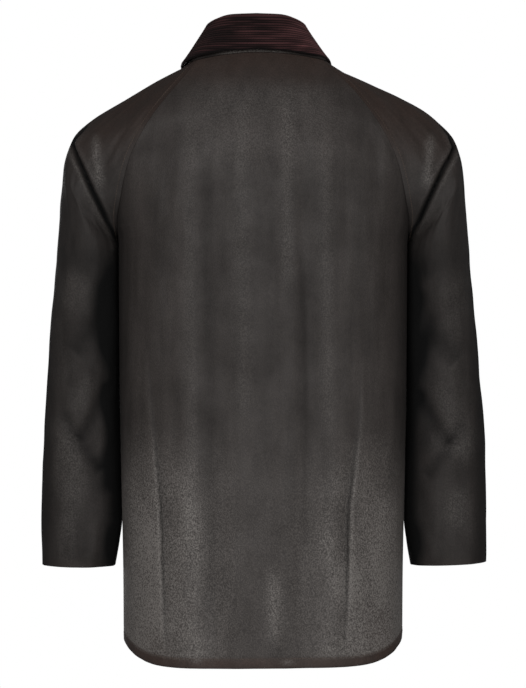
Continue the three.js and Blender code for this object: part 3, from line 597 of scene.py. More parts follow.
def even_columns(sections, heights, whole, count):
    """For each height, places across a whole or half panel at even distances over its surface."""
    half = 1 - (1 - np.linspace(0, 1, FINE_PLACES)) ** 3
    places = np.concatenate([-half[::-1], half[1:]]) if whole else half
    reach = way_across(panel_point(sections, heights[:, None], places))
    share = np.linspace(0, 1, count)
    return np.array([np.interp(share * way[-1], way, places) for way in reach])


def hem_drop(x, z):
    """How far the hem hangs lower on the wearer's left."""
    return smooth(-z, 600, 780) * np.maximum(0, HEM_DROP + HEM_DROP_SLOPE * x)


def panel_grid(sections, column, side, count):
    """The outside of a body panel with its folds, from neck to hem."""
    yoke = read(YOKE, "u", np.linspace(0, 1, PANEL_YOKE_ROWS + 1))[column]
    lower = np.linspace(yoke[-1], sections["zC"].min(), PANEL_LOWER_ROWS + 1)
    heights = np.concatenate([yoke, lower[1:]])
    t = even_columns(sections, heights, side == 0, count)
    if side:
        start = FRONT_EDGE / read(sections, "zC", heights)["xE"][:, None]
        t = side * (start + (1 - start) * t)
    plain = panel_point(sections, heights[:, None], t)
    x, z = plain[..., 0], plain[..., 2]
    from_zip = 1 if sections is BACK else smooth(np.abs(x), 10, 60)
    plain = plain - points(0, 0, hem_drop(x, z) * from_zip)
    normal = normals_of(plain)
    outward = 1 if sections is BACK else -1
    normal *= np.where(np.mean(normal[..., 1]) * outward < 0, -1, 1)
    edge = smooth(1 - np.abs(t), 0, 0.06) * smooth(-heights[:, None], 20, 90)
    out = body_relief(sections, heights[:, None], plain[..., 0]) * edge
    return plain + normal * out[..., None], normal


def turn_hem(grid, normal, away, seed):
    """A turned and stitched hem: a dent along the stitches and small puckers below it."""
    across = grid[..., 0]
    pucker = 0.35 * soft_noise(across / 4.5, away / 9, seed) * smooth(HEM_DEEP + 3 - away, 0, 4)
    dent = -0.55 * bump(away - HEM_DEEP, 1.6)
    return grid + normal * (pucker + dent)[..., None]


def painted_fold_light(x, z):
    """Upright pale and dark bands of the back, as strengths above and below zero: mostly painted highlights
    on the fold ridges and painted shade in the fold troughs and towards the sides.
    """
    sway = 4 * soft_noise(x * 0 + 0.5, z / 120, 31)
    out = 0
    for band in BACK_FOLD_LIGHT:
        fade = smooth(-z, band["top"], band["top"] + 50) * (1 - smooth(-z, band["end"] - 60, band["end"]))
        out = out + band["pale"] * fade * bump(x - band["x"] - sway, band["wide"])
    return out


def inside_of(grid, outward):
    """The inside of a wall whose outside is a grid."""
    normal = normals_of(grid)
    flip = np.sign(np.sum(normal * outward, axis=-1, keepdims=True))
    return grid - normal * flip * CLOTH_THICK


def hemmed_panel(sections, column, side, count, seed):
    """A body panel with its turned and sewn hem, and distances over the cloth from the hem."""
    grid, normal = panel_grid(sections, column, side, count)
    away = way_up(grid)
    grid = turn_hem(grid, normal, away, seed)
    sew_at(grid, normal, away, HEM_DEEP, 0)
    return grid, normal, away


def back_panel():
    grid, normal, away = hemmed_panel(BACK, "back", 0, BACK_COLUMNS, 41)
    x, z = grid[..., 0], grid[..., 2]
    lower = smooth(-z, 455, 640)
    sides = 0.32 * smooth(np.abs(x), 15, 60) + 0.86 * smooth(np.abs(x), 62, 98)
    patches = 0.68 + 0.36 * soft_noise(x / 19, z / 42, 51)
    bands = painted_fold_light(x, z)
    across_yoke = 1 - smooth(np.abs(x), 60, 120)
    upper = 0.16 * smooth(-z, 30, 60) * (1 - smooth(-z, 110, 170)) * across_yoke
    # Pale wax bloom low on the back and its sides, a paler band under the collar, and painted highlights on
    # the fold ridges.
    bloom_and_highlight = lower * sides * patches + 0.14 * lower + upper + 1.3 * np.maximum(bands, 0)
    hem = smooth(HEM_DEEP + 3.5 - away, 0, 6)
    corner = smooth(-z, 690, 760) * smooth(np.abs(x), 110, 160)
    tan = np.maximum(0.95 * hem, 0.8 * corner) + 0.8 * (1 - smooth(-z, 12, 60))
    # Painted shadow at each upright step: a dark line at its edge and shade on its inner side, and a painted
    # highlight on the raised outer strip.
    step = 0
    for across, tall, _ in back_steps(x, z):
        fold = tall / 6
        line = bump(across + 1.4, 1.7)
        shade = np.where(across < 0, bump(across, 10), bump(across, 1.5))
        step = step + (0.75 * line + 0.6 * shade) * fold
        bloom_and_highlight = bloom_and_highlight + (0.22 * bump(across - 3.5, 3.0) + 0.10 * bump(across - 12, 12)) * fold
    # Painted shade at the sides, where the back turns away.
    edge = smooth(np.abs(x), 158, 186) * (1 - 0.9 * smooth(-z, 450, 580))
    bloom_and_highlight = bloom_and_highlight + 0.20 * lower * smooth(np.abs(x), 118, 150) * (1 - 0.6 * smooth(-z, 700, 770))
    middle = 0.20 * smooth(-z, 130, 190) * (1 - smooth(-z, 400, 520)) * (1 - smooth(np.abs(x), 60, 110))
    # Painted shade in the fold troughs, at the steps and at the sides, with a darker middle of the back and a
    # darker bottom edge.
    painted_shade_and_darkening = np.maximum(-bands, 0) + middle + 0.7 * step + 0.45 * edge + 0.5 * bump(away, 2.2)
    masks = {"bloom_and_highlight": bloom_and_highlight * (1 - hem) + spots(PALE_SPOTS, x, z), "tan": tan, "painted_shade_and_darkening": painted_shade_and_darkening}
    return cloth_wall("back_panel", grid, inside_of(grid, normal), True, masks=masks)


def front_panel(side):
    grid, normal, away = hemmed_panel(FRONT, "front", side, FRONT_COLUMNS, 43 + side)
    sew_at(grid, normal, way_across(grid), TOPSTITCH, 1)
    x, z = grid[..., 0], grid[..., 2]
    lower = smooth(-z, 430, 640)
    sides = smooth(np.abs(x), 30, 80)
    bloom_and_highlight = 0.55 * lower * sides * (0.6 + 0.4 * soft_noise(x / 19, z / 42, 53 + side))
    hem = smooth(HEM_DEEP + 2.5 - away, 0, 3)
    tan = 0.9 * hem + 0.5 * (1 - smooth(-z, 70, 130)) + 0.5 * (1 - smooth(np.abs(x), 8, 16))
    # Painted shade at the sides, where the front turns away, and a darker bottom edge.
    painted_shade_and_darkening = 0.45 * smooth(np.abs(x), 158, 186) + 0.5 * bump(away, 2.2)
    masks = {"bloom_and_highlight": bloom_and_highlight * (1 - hem), "tan": tan, "painted_shade_and_darkening": painted_shade_and_darkening}
    name = "front_panel_left" if side > 0 else "front_panel_right"
    return cloth_wall(name, grid, inside_of(grid, normal), side < 0, masks=masks)


# How much darker each shoulder is near the neck.
SHOULDER_DARKENING = {1: 0.32, -1: 0.06}
ARMPIT_SHADES = [
    {"x": 196, "z": -312, "wide": 9, "tall": 36, "strong": 0.35},
    {"x": 203, "z": -382, "wide": 11, "tall": 26, "strong": 0.55},
    {"x": 230, "z": -268, "wide": 30, "tall": 20, "strong": 0.30},
]
YOKE_ROWS = 150
ARM_ROWS = 140
BACK_HALF = 140
FRONT_HALF = 96
EASE_PASSES = 120


def ease_underarm(grid, u, w):
    """Rounds the line where the yoke's form goes over into the arm's."""
    eased = grid.copy()
    for _ in range(EASE_PASSES):
        eased[1:-1] = (eased[:-2] + 2 * eased[1:-1] + eased[2:]) / 4
    share = bump(u - 1, 0.16) * smooth(1 - np.abs(w), 0.02, 0.2)
    return grid + (eased - grid) * share[..., None]


def sleeve(side):
    u = steps_through((0, 1, 2), (YOKE_ROWS, ARM_ROWS))[:, None]
    w = steps_through((-1, 0, 1), (BACK_HALF, FRONT_HALF))
    plain = ease_underarm(sleeve_point(u, w, side), u, w)
    normal = -normals_of(plain, closed_from=YOKE_ROWS)
    u, w = np.broadcast_arrays(u, w)
    folds = LEFT_FOLDS if side > 0 else RIGHT_FOLDS
    seed = 11 if side > 0 else 17
    turned_back = smooth(normal[..., 1], 0.12, 0.55)
    out, groove, rim = sleeve_relief(plain, w, turned_back, folds, seed)
    grid = plain + normal * out[..., None]
    facing = normals_of(grid, closed_from=YOKE_ROWS)
    facing *= np.sign(np.sum(facing * normal, axis=-1, keepdims=True))
    inside = grid - facing * CLOTH_THICK
    x, z = grid[..., 0], grid[..., 2]
    arm = smooth(-z, 235, 300)
    inner = arm * smooth(214 - x, 0, 26)
    outer = smooth(x, 262, 284) * smooth(-z, 120, 200)
    patches = soft_noise(w * 5, z / 45, seed + 5)
    dark_patch = arm * smooth(232 - x, 0, 30) * smooth(patches, -0.5, 0.5)
    # Painted shade: black in the deep fold's groove, on the arm's inner side towards the body, at its outer
    # edge and in patches on the inner arm, over sleeves made darker below the shoulder.
    painted_shade_and_darkening = 0.46 * smooth(-z, 60, 200) + 1.1 * groove + 0.85 * inner + 0.50 * outer + 0.5 * dark_patch
    # Painted shade along the shoulder ridge, where the sleeve turns away, stronger at the shoulder tip.
    tip = smooth(-z, 90, 130) * (1 - smooth(-z, 150, 200))
    ridge = (0.6 + 0.5 * tip) * bump(w, 0.08 + 0.07 * tip) * smooth(-z, 60, 120)
    near_neck = SHOULDER_DARKENING[side] * (1 - smooth(-z, 60, 130))
    painted_shade_and_darkening = painted_shade_and_darkening + spots(ARMPIT_SHADES, x, z) + ridge + near_neck
    # Painted highlights: on the lips beside the folds and on the flap's ridge, and a paler, patchy middle of
    # the arm where it faces the light.
    low = smooth(-z, 430, 520) * (1 - smooth(-z, 600, 650))
    middle = bump(x - 248, 22)
    pale_low = 0.30 * low * middle * smooth(patches, -0.5, 0.4)
    bloom_and_highlight = 0.40 * rim + pale_low + 0.12 * arm * middle * smooth(patches, -0.1, 0.3)
    shoulder = 1 - smooth(-z, 60, 175)
    cuff = smooth(-z, 648, 658)
    tan = 0.95 * shoulder + 0.25 * smooth(-z, 100, 200) * outer + 0.25 * cuff
    masks = {"bloom_and_highlight": bloom_and_highlight, "tan": tan, "painted_shade_and_darkening": painted_shade_and_darkening}
    mirror = np.array([side, 1, 1])
    grid, inside, facing = grid * mirror, inside * mirror, facing * mirror
    seam_rows = slice(4, YOKE_ROWS - 4)
    back_half, front_half = slice(0, BACK_HALF // 2), slice(-1, -FRONT_HALF // 2, -1)
    for half in (back_half, front_half):
        yoke = grid[seam_rows, half]
        sew_at(yoke, facing[seam_rows, half], way_across(yoke), TOPSTITCH, 1)
    name = "left_sleeve" if side > 0 else "right_sleeve"
    return cloth_wall(name, grid, inside, side > 0, closed_from=YOKE_ROWS, masks=masks)


NECK_POINTS = 40
CENTRE_STEP = 0.02


def neck_seam(side):
    """The neck seam of one side, from centre back to centre front, at even distances."""
    share = np.arange(NECK_POINTS + 1) / NECK_POINTS
    half = FRONT["xE"][-1]
    x = COLLAR_EDGE + (half - COLLAR_EDGE) * share[-2::-1]
    over_shoulder = np.arange(1, 2 * NECK_POINTS + 1) / NECK_POINTS - 1
    line = np.concatenate([
        seam_point(BACK, 0 * share, side, 0, side * share),
        sleeve_point(0 * over_shoulder, over_shoulder, side),
        panel_point(FRONT, np.full(NECK_POINTS, FRONT["zC"][-1]), x / half),
    ])
    reach = way_along(line)
    return line, reach / reach[-1]


NECK_LINES = {side: neck_seam(side) for side in (1, -1)}


def collar_lean(a):
    return COLLAR_LEAN * (1 - smooth(np.abs(a), 0.55, 1))


def collar_centre(a):
    """The middle of the collar's roll at a station."""
    row = read(COLLAR, "f", np.abs(a))
    return points(np.sign(a) * row["rx"] + collar_lean(a), row["ry"], row["rz"])


def collar_lines(stations, places):
    """The collar's middle surface: stations run from the right front (-1) over the centre back to the
    left front (1); places run up the stand (0 to 1), round the roll (to 2) and down the fall (to 3)."""
    lines = []
    s = places[:, None]
    for a in stations:
        side = -1 if a < 0 else 1
        row = read(COLLAR, "f", abs(a))
        lift = RIGHT_EDGE_LIFT * bump(a + 0.46, 0.13)
        edge = points(side * row["ex"] + collar_lean(a), row["ey"], row["ez"] + lift)
        line, reach = NECK_LINES[side]
        base = along_line(abs(a), reach, line) * (side, 1, 1)
        along = unit(collar_centre(min(a + CENTRE_STEP, 1)) - collar_centre(max(a - CENTRE_STEP, -1)))
        outward = unit(np.array([along[1], -along[0], 0]))
        if outward @ np.array([edge[0] - base[0] * 0.4, edge[1] + 10, 0]) < 0:
            outward = -outward
        up = np.cross(along, outward)
        if up[2] < 0:
            up = -up
        centre = collar_centre(a)
        flare = math.radians(float(row["flare"]))
        fall_way = outward * math.sin(flare) - up * math.cos(flare)
        stand_top = centre - outward * ROLL_RADIUS
        fall_top = centre + (outward * math.cos(flare) + up * math.sin(flare)) * ROLL_RADIUS
        base = base + unit(stand_top - base) * COLLAR_BASE_GAP
        up_third = (stand_top - base) / 3
        back_third = (fall_top - edge) / 3
        below_top = stand_top - up * np.linalg.norm(up_third)
        off_roll = fall_top + fall_way * np.linalg.norm(back_third)
        stand = bezier(base, base + up_third, below_top, stand_top, np.clip(s, 0, 1))
        fall = bezier(fall_top, off_roll, edge + back_third, edge, np.clip(s - 2, 0, 1))
        angle = (s - 1) * (math.pi - flare)
        roll = centre - outward * ROLL_RADIUS * np.cos(angle) + up * ROLL_RADIUS * np.sin(angle)
        lines.append(np.where(s <= 1, stand, np.where(s >= 2, fall, roll)))
    return np.array(lines)


def collar_surface(station_count, place_steps, end=3.0):
    places = steps_through((0, 1, 2, end), place_steps)
    grid = collar_lines(np.linspace(-1, 1, station_count), places)
    return grid, normals_of(grid), places


def upper_collar():
    grid, normal, places = collar_surface(161, (70, 16, 94))
    reach = way_across(grid)
    roll_at = reach[:, np.searchsorted(places, 1.5)][:, None]
    wale = np.abs(np.cos(math.pi * (reach - roll_at) / WALE_PITCH)) ** 0.8
    ends = smooth(reach, 0.5, 3) * smooth(reach[:, -1:] - reach, 0.3, 1.6)
    stand_off = COLLAR_PARTING + CORD_THICK + WALE_HEIGHT * wale * ends
    outside = grid + normal * stand_off[..., None]
    inside = grid + normal * COLLAR_PARTING
    across = grid[..., 0]
    number = np.round((reach - roll_at) / WALE_PITCH)
    streaks = soft_noise(across / 26, number * 1.37 + 0.5, 71)
    patches = soft_noise(across / 20, reach / 16, 72)
    # Painted light across the collar, lighter towards the wearer's right, with patches and nap streaks along
    # the wales; the ridge share paints highlights on the wale tops and shade in their valleys.
    nap_and_painted_side_light = (0.10 + 0.90 * smooth(-across, -40, 66)) * (0.62 + 0.3 * patches) + 0.38 * streaks
    masks = {"nap_and_painted_side_light": np.clip(nap_and_painted_side_light, 0, 1), "ridge": (wale * ends) ** 1.6}
    return cloth_wall("corduroy_collar", outside, inside, False, masks=masks)


def under_collar():
    grid, normal, _ = collar_surface(121, (30, 8, 32), FACING_END)
    outside = grid - normal * COLLAR_PARTING
    inside = grid - normal * (COLLAR_PARTING + UNDER_THICK)
    at_back = smooth(grid[..., 1], 5, 35)
    aside = np.maximum(smooth(np.abs(grid[..., 0] - COLLAR_LEAN), 26, 62), 1 - at_back)
    # Painted shade on the facing beside the centre back, under the collar's fall; the centre back is paler.
    masks = {"bloom_and_highlight": 0.8 * (1 - aside), "tan": 0.3 + 0 * aside, "painted_shade_and_darkening": 0.75 * aside * at_back}
    return cloth_wall("collar_facing", outside, inside, False, masks=masks)


# Finishes.
COLOURS = {
    "wax, dark": (0.0207, 0.0169, 0.0152, 1),
    "wax, light": (0.0360, 0.0303, 0.0278, 1),
    "wax, rubbed": (0.033, 0.0190, 0.0142, 1),
    # Pale wax bloom, also laid on as painted highlights.
    "wax, bloom and painted highlight": (0.118, 0.1075, 0.100, 1),
    "corduroy, deep": (0.0125, 0.0047, 0.0049, 1),
    "corduroy, plain": (0.024, 0.0090, 0.0092, 1),
    # The nap's colour, laid on with the painted light across the collar.
    "corduroy, nap in painted light": (0.084, 0.0325, 0.0335, 1),
    "corduroy, ridge": (0.058, 0.0215, 0.0225, 1),
    "corduroy, sheen": (0.6, 0.4, 0.4, 1),
    "tape, groove": (0.013, 0.0105, 0.009, 1),
    "tape, rib": (0.03, 0.025, 0.021, 1),
    "tape, dust": (0.05, 0.043, 0.037, 1),
    "thread, dark": (0.032, 0.0225, 0.017, 1),
    "thread, light": (0.080, 0.056, 0.042, 1),
    "brass, clean": (0.33, 0.205, 0.085, 1),
    "brass, aged": (0.17, 0.105, 0.05, 1),
    "brass, scratched": (0.09, 0.06, 0.035, 1),
    "studio white": (0.9, 0.9, 0.9, 1),
}


def place(tree, kind, inputs=None, **settings):
    """A shader node with its settings, and with values or other nodes' outputs on its inputs."""
    node = tree.nodes.new("ShaderNode" + kind)
    for name, value in settings.items():
        setattr(node, name, value)
    for name, value in (inputs or {}).items():
        if isinstance(value, bpy.types.NodeSocket):
            tree.links.new(value, node.inputs[name])
        else:
            node.inputs[name].default_value = value
    return node


def arithmetic(tree, operation, a, b, clamp=False):
    return place(tree, "Math", {0: a, 1: b}, operation=operation, use_clamp=clamp).outputs["Value"]


def times(tree, a, b):
    return arithmetic(tree, "MULTIPLY", a, b)


def ramp(tree, value, to_min, to_max, from_min=0.0, from_max=1.0):
    """A value moved evenly from one range to another, and held at its ends."""
    inputs = {"Value": value, "From Min": from_min, "From Max": from_max, "To Min": to_min, "To Max": to_max}
    return place(tree, "MapRange", inputs).outputs["Result"]


def blend_colours(tree, share, a, b, kind="MIX"):
    """Colour a, with a share of colour b."""
    inputs = {"Factor": share, 6: a, 7: b}
    return place(tree, "Mix", inputs, data_type="RGBA", blend_type=kind).outputs[2]


def shade(tree, base, tone):
    """A colour made darker or lighter by a tone that changes over the surface."""
    grey = place(tree, "CombineColor", {"Red": tone, "Green": tone, "Blue": tone})
    return blend_colours(tree, 1.0, base, grey.outputs["Color"], kind="MULTIPLY")


def noise(tree, where, scale, detail, roughness):
    inputs = {"Vector": where, "Scale": scale, "Detail": detail, "Roughness": roughness}
    return place(tree, "TexNoise", inputs).outputs["Fac"]


def stretched(tree, where, by):
    return place(tree, "VectorMath", {0: where, 1: by}, operation="MULTIPLY").outputs[0]


def effect_group(name, inputs, outputs):
    """An empty effect with a place and named numbers in, and numbers out, for several materials."""
    group = bpy.data.node_groups.new(name, "ShaderNodeTree")
    group.interface.new_socket(name="Place", in_out="INPUT", socket_type="NodeSocketVector")
    for socket, value in inputs.items():
        item = group.interface.new_socket(name=socket, in_out="INPUT", socket_type="NodeSocketFloat")
        item.default_value = value
    for socket in outputs:
        group.interface.new_socket(name=socket, in_out="OUTPUT", socket_type="NodeSocketFloat")
    return group, group.nodes.new("NodeGroupInput").outputs, group.nodes.new("NodeGroupOutput").inputs


def make_thread_grain():
    """Fine uneven specks of thread and dust, and their height."""
    numbers = {"Specks per metre": 600.0, "Along": 1.0}
    group, given, result = effect_group("thread grain", numbers, ("Speck", "Height"))
    by = place(group, "CombineXYZ", {"X": 1.0, "Y": 1.0, "Z": given["Along"]}).outputs[0]
    fine = noise(group, stretched(group, given["Place"], by), given["Specks per metre"], 3.0, 0.7)
    group.links.new(ramp(group, fine, 0.0, 1.0, 0.38, 0.66), result["Speck"])
    group.links.new(fine, result["Height"])
    return group


def make_cloudy_wear():
    """Slow cloudy patches and long upright streaks, both from 0 to 1."""
    numbers = {"Patches per metre": 20.0, "Streaks per metre": 55.0}
    group, given, result = effect_group("cloudy wear", numbers, ("Patch", "Streak"))
    patch = noise(group, given["Place"], given["Patches per metre"], 6.0, 0.62)
    upright = stretched(group, given["Place"], (1.0, 1.0, 0.14))
    streak = noise(group, upright, given["Streaks per metre"], 4.0, 0.55)
    for name, value in (("Patch", patch), ("Streak", streak)):
        group.links.new(ramp(group, value, 0.0, 1.0, 0.3, 0.7), result[name])
    return group


THREAD_GRAIN = make_thread_grain()
CLOUDY_WEAR = make_cloudy_wear()


def object_place(tree):
    return place(tree, "TexCoord").outputs["Object"]


def thread_grain(tree, specks, along):
    """Speck and height of the grain, with so many specks to a metre."""
    inputs = {"Place": object_place(tree), "Specks per metre": specks, "Along": along}
    grain = place(tree, "Group", inputs, node_tree=THREAD_GRAIN)
    return grain.outputs["Speck"], grain.outputs["Height"]


def cloudy_wear(tree, patches, streaks):
    """Patch and streak of the wear, with so many of each to a metre."""
    inputs = {"Place": object_place(tree), "Patches per metre": patches, "Streaks per metre": streaks}
    wear = place(tree, "Group", inputs, node_tree=CLOUDY_WEAR)
    return wear.outputs["Patch"], wear.outputs["Streak"]


def new_material(name, **sockets):
    """A material with its constants on the shader's own sockets."""
    material = bpy.data.materials.new(name)
    material.use_nodes = True
    shader = material.node_tree.nodes["Principled BSDF"]
    for socket, value in sockets.items():
        shader.inputs[socket.replace("_", " ")].default_value = value
    return material, material.node_tree, shader


def mask(tree, name):
    return place(tree, "Attribute", attribute_name=name).outputs["Fac"]


def raise_surface(tree, shader, height, strength, distance):
    """Fine relief of a material, on the shader's normal."""
    relief = place(tree, "Bump", {"Strength": strength, "Distance": distance, "Height": height})
    tree.links.new(relief.outputs["Normal"], shader.inputs["Normal"])


def waxed_cotton():
    """Dark waxed cotton: cloudy and streaked, browned where it is rubbed, with a pale speckled bloom that
    also carries painted highlights, and darkened by painted shade.
    """
    material, tree, shader = new_material("waxed cotton", Specular_IOR_Level=0.26)
    patch, streak = cloudy_wear(tree, 21.0, 60.0)
    speck, thread_height = thread_grain(tree, 620.0, 0.8)
    tan, bloom_and_highlight, painted_shade_and_darkening = mask(tree, "tan"), mask(tree, "bloom_and_highlight"), mask(tree, "painted_shade_and_darkening")
    tone = ramp(tree, arithmetic(tree, "ADD", patch, streak), 0.0, 1.0, 0.3, 1.7)
    base = blend_colours(tree, tone, COLOURS["wax, dark"], COLOURS["wax, light"])
    rubbed = arithmetic(tree, "MULTIPLY", tan, ramp(tree, patch, 0.45, 1.0), clamp=True)
    base = blend_colours(tree, rubbed, base, COLOURS["wax, rubbed"])
    speckled = times(tree, times(tree, speck, bloom_and_highlight), 1.18)
    pale = arithmetic(tree, "ADD", speckled, times(tree, bloom_and_highlight, 0.16), clamp=True)
    base = blend_colours(tree, pale, base, COLOURS["wax, bloom and painted highlight"])
    # Painted shade, with some other darkening, takes light out of the base colour.
    brightness = arithmetic(tree, "SUBTRACT", 1.0, times(tree, painted_shade_and_darkening, 0.78), clamp=True)
    brightness = times(tree, brightness, ramp(tree, speck, 0.80, 1.22))
    tree.links.new(shade(tree, base, brightness), shader.inputs["Base Color"])
    dull = arithmetic(tree, "ADD", times(tree, painted_shade_and_darkening, 0.3), ramp(tree, patch, 0.66, 0.52))
    tree.links.new(dull, shader.inputs["Roughness"])
    height = arithmetic(tree, "ADD", times(tree, streak, 0.9), thread_height)
    raise_surface(tree, shader, height, 0.55, 0.0006)
    return material


def brown_corduroy():
    """Brown cotton corduroy with a worn nap, painted light across the collar, painted highlights on the wale
    tops and painted shade in their valleys.
    """
    material, tree, shader = new_material(
        "brown corduroy", Roughness=0.92, Specular_IOR_Level=0.15,
        Sheen_Weight=0.07, Sheen_Roughness=0.5, Sheen_Tint=COLOURS["corduroy, sheen"],
    )
    patch, _ = cloudy_wear(tree, 45.0, 90.0)
    speck, thread_height = thread_grain(tree, 900.0, 1.0)
    nap_and_painted_side_light, ridge = mask(tree, "nap_and_painted_side_light"), mask(tree, "ridge")
    base = blend_colours(tree, patch, COLOURS["corduroy, deep"], COLOURS["corduroy, plain"])
    base = blend_colours(tree, times(tree, nap_and_painted_side_light, 0.85), base, COLOURS["corduroy, nap in painted light"])
    base = blend_colours(tree, times(tree, ridge, 0.35), base, COLOURS["corduroy, ridge"])
    # Painted shade in the wale valleys and painted highlights on the wale tops, brighter where the painted
    # light across the collar falls.
    tone = times(tree, ramp(tree, speck, 0.75, 1.25), ramp(tree, ridge, 0.0, 1.35))
    tone = times(tree, tone, ramp(tree, nap_and_painted_side_light, 0.22, 1.42))
    tree.links.new(shade(tree, base, tone), shader.inputs["Base Color"])
    raise_surface(tree, shader, thread_height, 0.5, 0.0006)
    return material


def woven_tape():
    """Dark cotton tape with a fine even weave."""
    material, tree, shader = new_material("zip tape weave", Roughness=0.88, Specular_IOR_Level=0.2)
    speck, thread_height = thread_grain(tree, 1100.0, 0.4)
    weave = {"Vector": object_place(tree), "Scale": 260.0, "Distortion": 0.6}
    ribs = place(tree, "TexWave", weave, bands_direction="Z").outputs["Fac"]
    base = blend_colours(tree, ribs, COLOURS["tape, groove"], COLOURS["tape, rib"])
    base = blend_colours(tree, times(tree, speck, 0.3), base, COLOURS["tape, dust"])
    tree.links.new(base, shader.inputs["Base Color"])
    raise_surface(tree, shader, arithmetic(tree, "ADD", ribs, thread_height), 0.5, 0.0003)
    return material


def waxed_thread():
    """Brown sewing thread, a little lighter than the cloth."""
    material, tree, shader = new_material("sewing thread", Roughness=0.72, Specular_IOR_Level=0.3)
    patch, _ = cloudy_wear(tree, 70.0, 200.0)
    base = blend_colours(tree, patch, COLOURS["thread, dark"], COLOURS["thread, light"])
    tree.links.new(base, shader.inputs["Base Color"])
    return material


def zip_brass():
    """Aged brass: tarnished in patches, with fine scratches."""
    material, tree, shader = new_material("zip brass", Metallic=1.0)
    patch, streak = cloudy_wear(tree, 160.0, 900.0)
    speck, _ = thread_grain(tree, 1500.0, 0.2)
    base = blend_colours(tree, patch, COLOURS["brass, clean"], COLOURS["brass, aged"])
    base = blend_colours(tree, times(tree, speck, 0.35), base, COLOURS["brass, scratched"])
    tree.links.new(base, shader.inputs["Base Color"])
    tree.links.new(ramp(tree, streak, 0.3, 0.52), shader.inputs["Roughness"])
    raise_surface(tree, shader, streak, 0.25, 0.0002)
    return material


waxed = waxed_cotton()
cord = brown_corduroy()
tape_weave = woven_tape()
thread = waxed_thread()
brass = zip_brass()


def finish_piece(piece, material, slot, *nodes):
    piece.data.materials.append(material)
    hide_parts(*nodes)
    return piece


CHAIN_TOP = -99.35
CHAIN_END = -749.65
TOOTH_STEP = 2.4
TOOTH = {"tall": 1.3, "near": 0.9, "far": 3.6, "inset": 0.15}
TOOTH_OUTLINE = [(-1.05, 0.8), (0.35, 1.0), (0.9, 0.72), (1.7, 0.72), (2.1, 1.0), (3.3, 1.0)]


def chain_line():
    """The centre-front line that the zip follows: places, and the unit ways down it and into the jacket."""
    heights = np.linspace(CHAIN_TOP, CHAIN_END, FINE_PLACES)
    line = panel_point(FRONT, heights, 0 * heights)
    down = unit(np.gradient(line, axis=0))
    return line, way_along(line), down, points(0, -down[:, 2], down[:, 1])


def zip_teeth():
    """Interlocked teeth of both sides: a head across the middle, a neck, and a foot on the tape."""
    line, reach, down, inward = chain_line()
    near, far = TOOTH["near"], TOOTH["far"]
    verts, faces = [], []
    many = int((reach[-1] - TOOTH["tall"]) / (TOOTH_STEP / 2))
    for k in range(many):
        side = 1 if k % 2 else -1
        at = TOOTH["tall"] / 2 + k * TOOTH_STEP / 2
        middle, way, deep = (along_line(at, reach, part) for part in (line, down, inward))
        first = len(verts)
        for across, share in TOOTH_OUTLINE:
            half = TOOTH["tall"] / 2 * share
            for depth, up in ((near, -half), (near, half), (far, half), (far, -half)):
                inset = TOOTH["inset"] if depth == near else 0
                aside = middle + np.array([side * across, 0, 0])
                verts.append(aside + deep * depth + way * up * (1 - inset))
        rings = len(TOOTH_OUTLINE) - 1
        for ring in range(rings):
            a = first + 4 * ring
            for m in range(4):
                n = (m + 1) % 4
                face = [a + m, a + n, a + 4 + n, a + 4 + m]
                faces.append(face if side < 0 else face[::-1])
        last = first + 4 * rings
        ends = ([first + 3, first + 2, first + 1, first], [last, last + 1, last + 2, last + 3])
        faces.extend(face if side < 0 else face[::-1] for face in ends)
    return new_object("zip_teeth", verts, faces, sharp=35)


back = finish_piece(back_panel(), waxed, "waxed_cotton", "back")
front_left = finish_piece(front_panel(1), waxed, "waxed_cotton", "front_left")
front_right = finish_piece(front_panel(-1), waxed, "waxed_cotton", "front_right")
sleeve_left = finish_piece(sleeve(1), waxed, "waxed_cotton", "sleeve_left")
sleeve_right = finish_piece(sleeve(-1), waxed, "waxed_cotton", "sleeve_right")
collar_top = finish_piece(upper_collar(), cord, "corduroy", "upper_collar")
collar_under = finish_piece(under_collar(), waxed, "waxed_cotton", "under_collar")

finish_piece(zip_teeth(), brass, "zip_metal", "zip_chain")
stitches = new_object("stitches", *stitch_mesh(sewn_lines), sharp=30)
stitches.data.materials.append(thread)

KEPT_NODES = {
    "zip_tape_left": tape_weave,
    "zip_tape_right": tape_weave,
    "zip_slider": brass,
    "zip_box": brass,
    "zip_pull": brass,
}
for node, material in KEPT_NODES.items():
    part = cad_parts[node]
    part.data.materials.clear()
    part.data.materials.append(material)

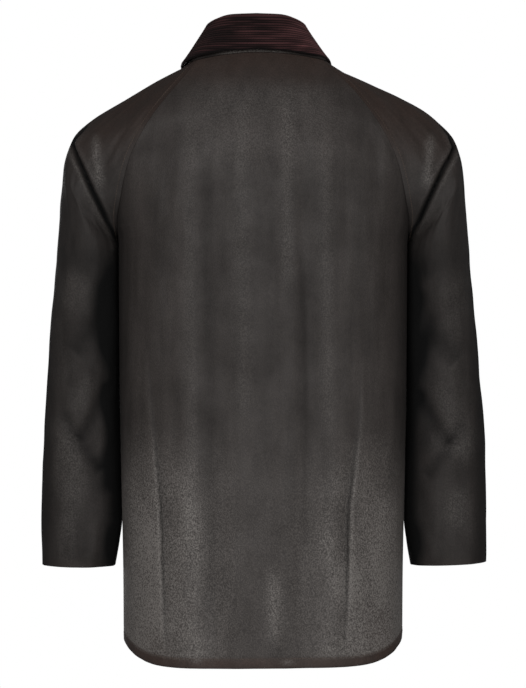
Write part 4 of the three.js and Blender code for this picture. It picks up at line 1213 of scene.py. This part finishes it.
# Studio.
CAMERA_DISTANCE = 3.5
CAMERA_HEIGHT = -0.374
CAMERA_LENS = 140.86
FLOOR_LEVEL = -1.1
FLOOR_HALF = 1.5
JACKET_MIDDLE = (0, 0, -0.38)
WORLD_LIGHT = 0.16

camera = add_to_scene("camera", bpy.data.cameras.new("camera"))
camera.location = (0, CAMERA_DISTANCE, CAMERA_HEIGHT)
camera.rotation_euler = (math.pi / 2, 0, math.pi)
camera.data.lens = CAMERA_LENS
camera.data.sensor_width = 36
bpy.context.scene.camera = camera

white = new_material("studio white", Base_Color=COLOURS["studio white"], Roughness=0.9)[0]
floor_mesh = bpy.data.meshes.new("floor")
corners = [(x * FLOOR_HALF, y * FLOOR_HALF, FLOOR_LEVEL) for x, y in ((-1, -1), (1, -1), (1, 1), (-1, 1))]
floor_mesh.from_pydata(corners, [], [(0, 1, 2, 3)])
floor = add_to_scene("floor", floor_mesh)
floor.data.materials.append(white)


def softbox(name, spot, size, power):
    """A rectangular lamp that looks at the middle of the jacket."""
    light = bpy.data.lights.new(name, "AREA")
    light.shape = "RECTANGLE"
    light.size, light.size_y = size
    light.energy = power
    lamp = add_to_scene(name, light)
    lamp.location = spot
    direction = np.array(JACKET_MIDDLE) - np.array(spot)
    flat = math.hypot(direction[0], direction[1])
    lamp.rotation_euler = (math.atan2(flat, -direction[2]), 0, math.atan2(-direction[0], direction[1]))


softbox("key_softbox", (0.9, 3.2, 0.9), (1.6, 1.6), 62)
softbox("fill_softbox", (-1.2, 3.2, 0.0), (1.6, 1.8), 44)
softbox("front_softbox", (0.5, -3.0, -0.2), (1.4, 1.4), 34)

world = bpy.data.worlds.new("studio")
world.use_nodes = True
background = world.node_tree.nodes["Background"]
background.inputs["Color"].default_value = (1, 1, 1, 1)
seen = place(world.node_tree, "LightPath").outputs["Is Camera Ray"]
strength = ramp(world.node_tree, seen, WORLD_LIGHT, 1.0)
world.node_tree.links.new(strength, background.inputs["Strength"])
bpy.context.scene.world = world
bpy.context.scene.view_settings.view_transform = "Standard"
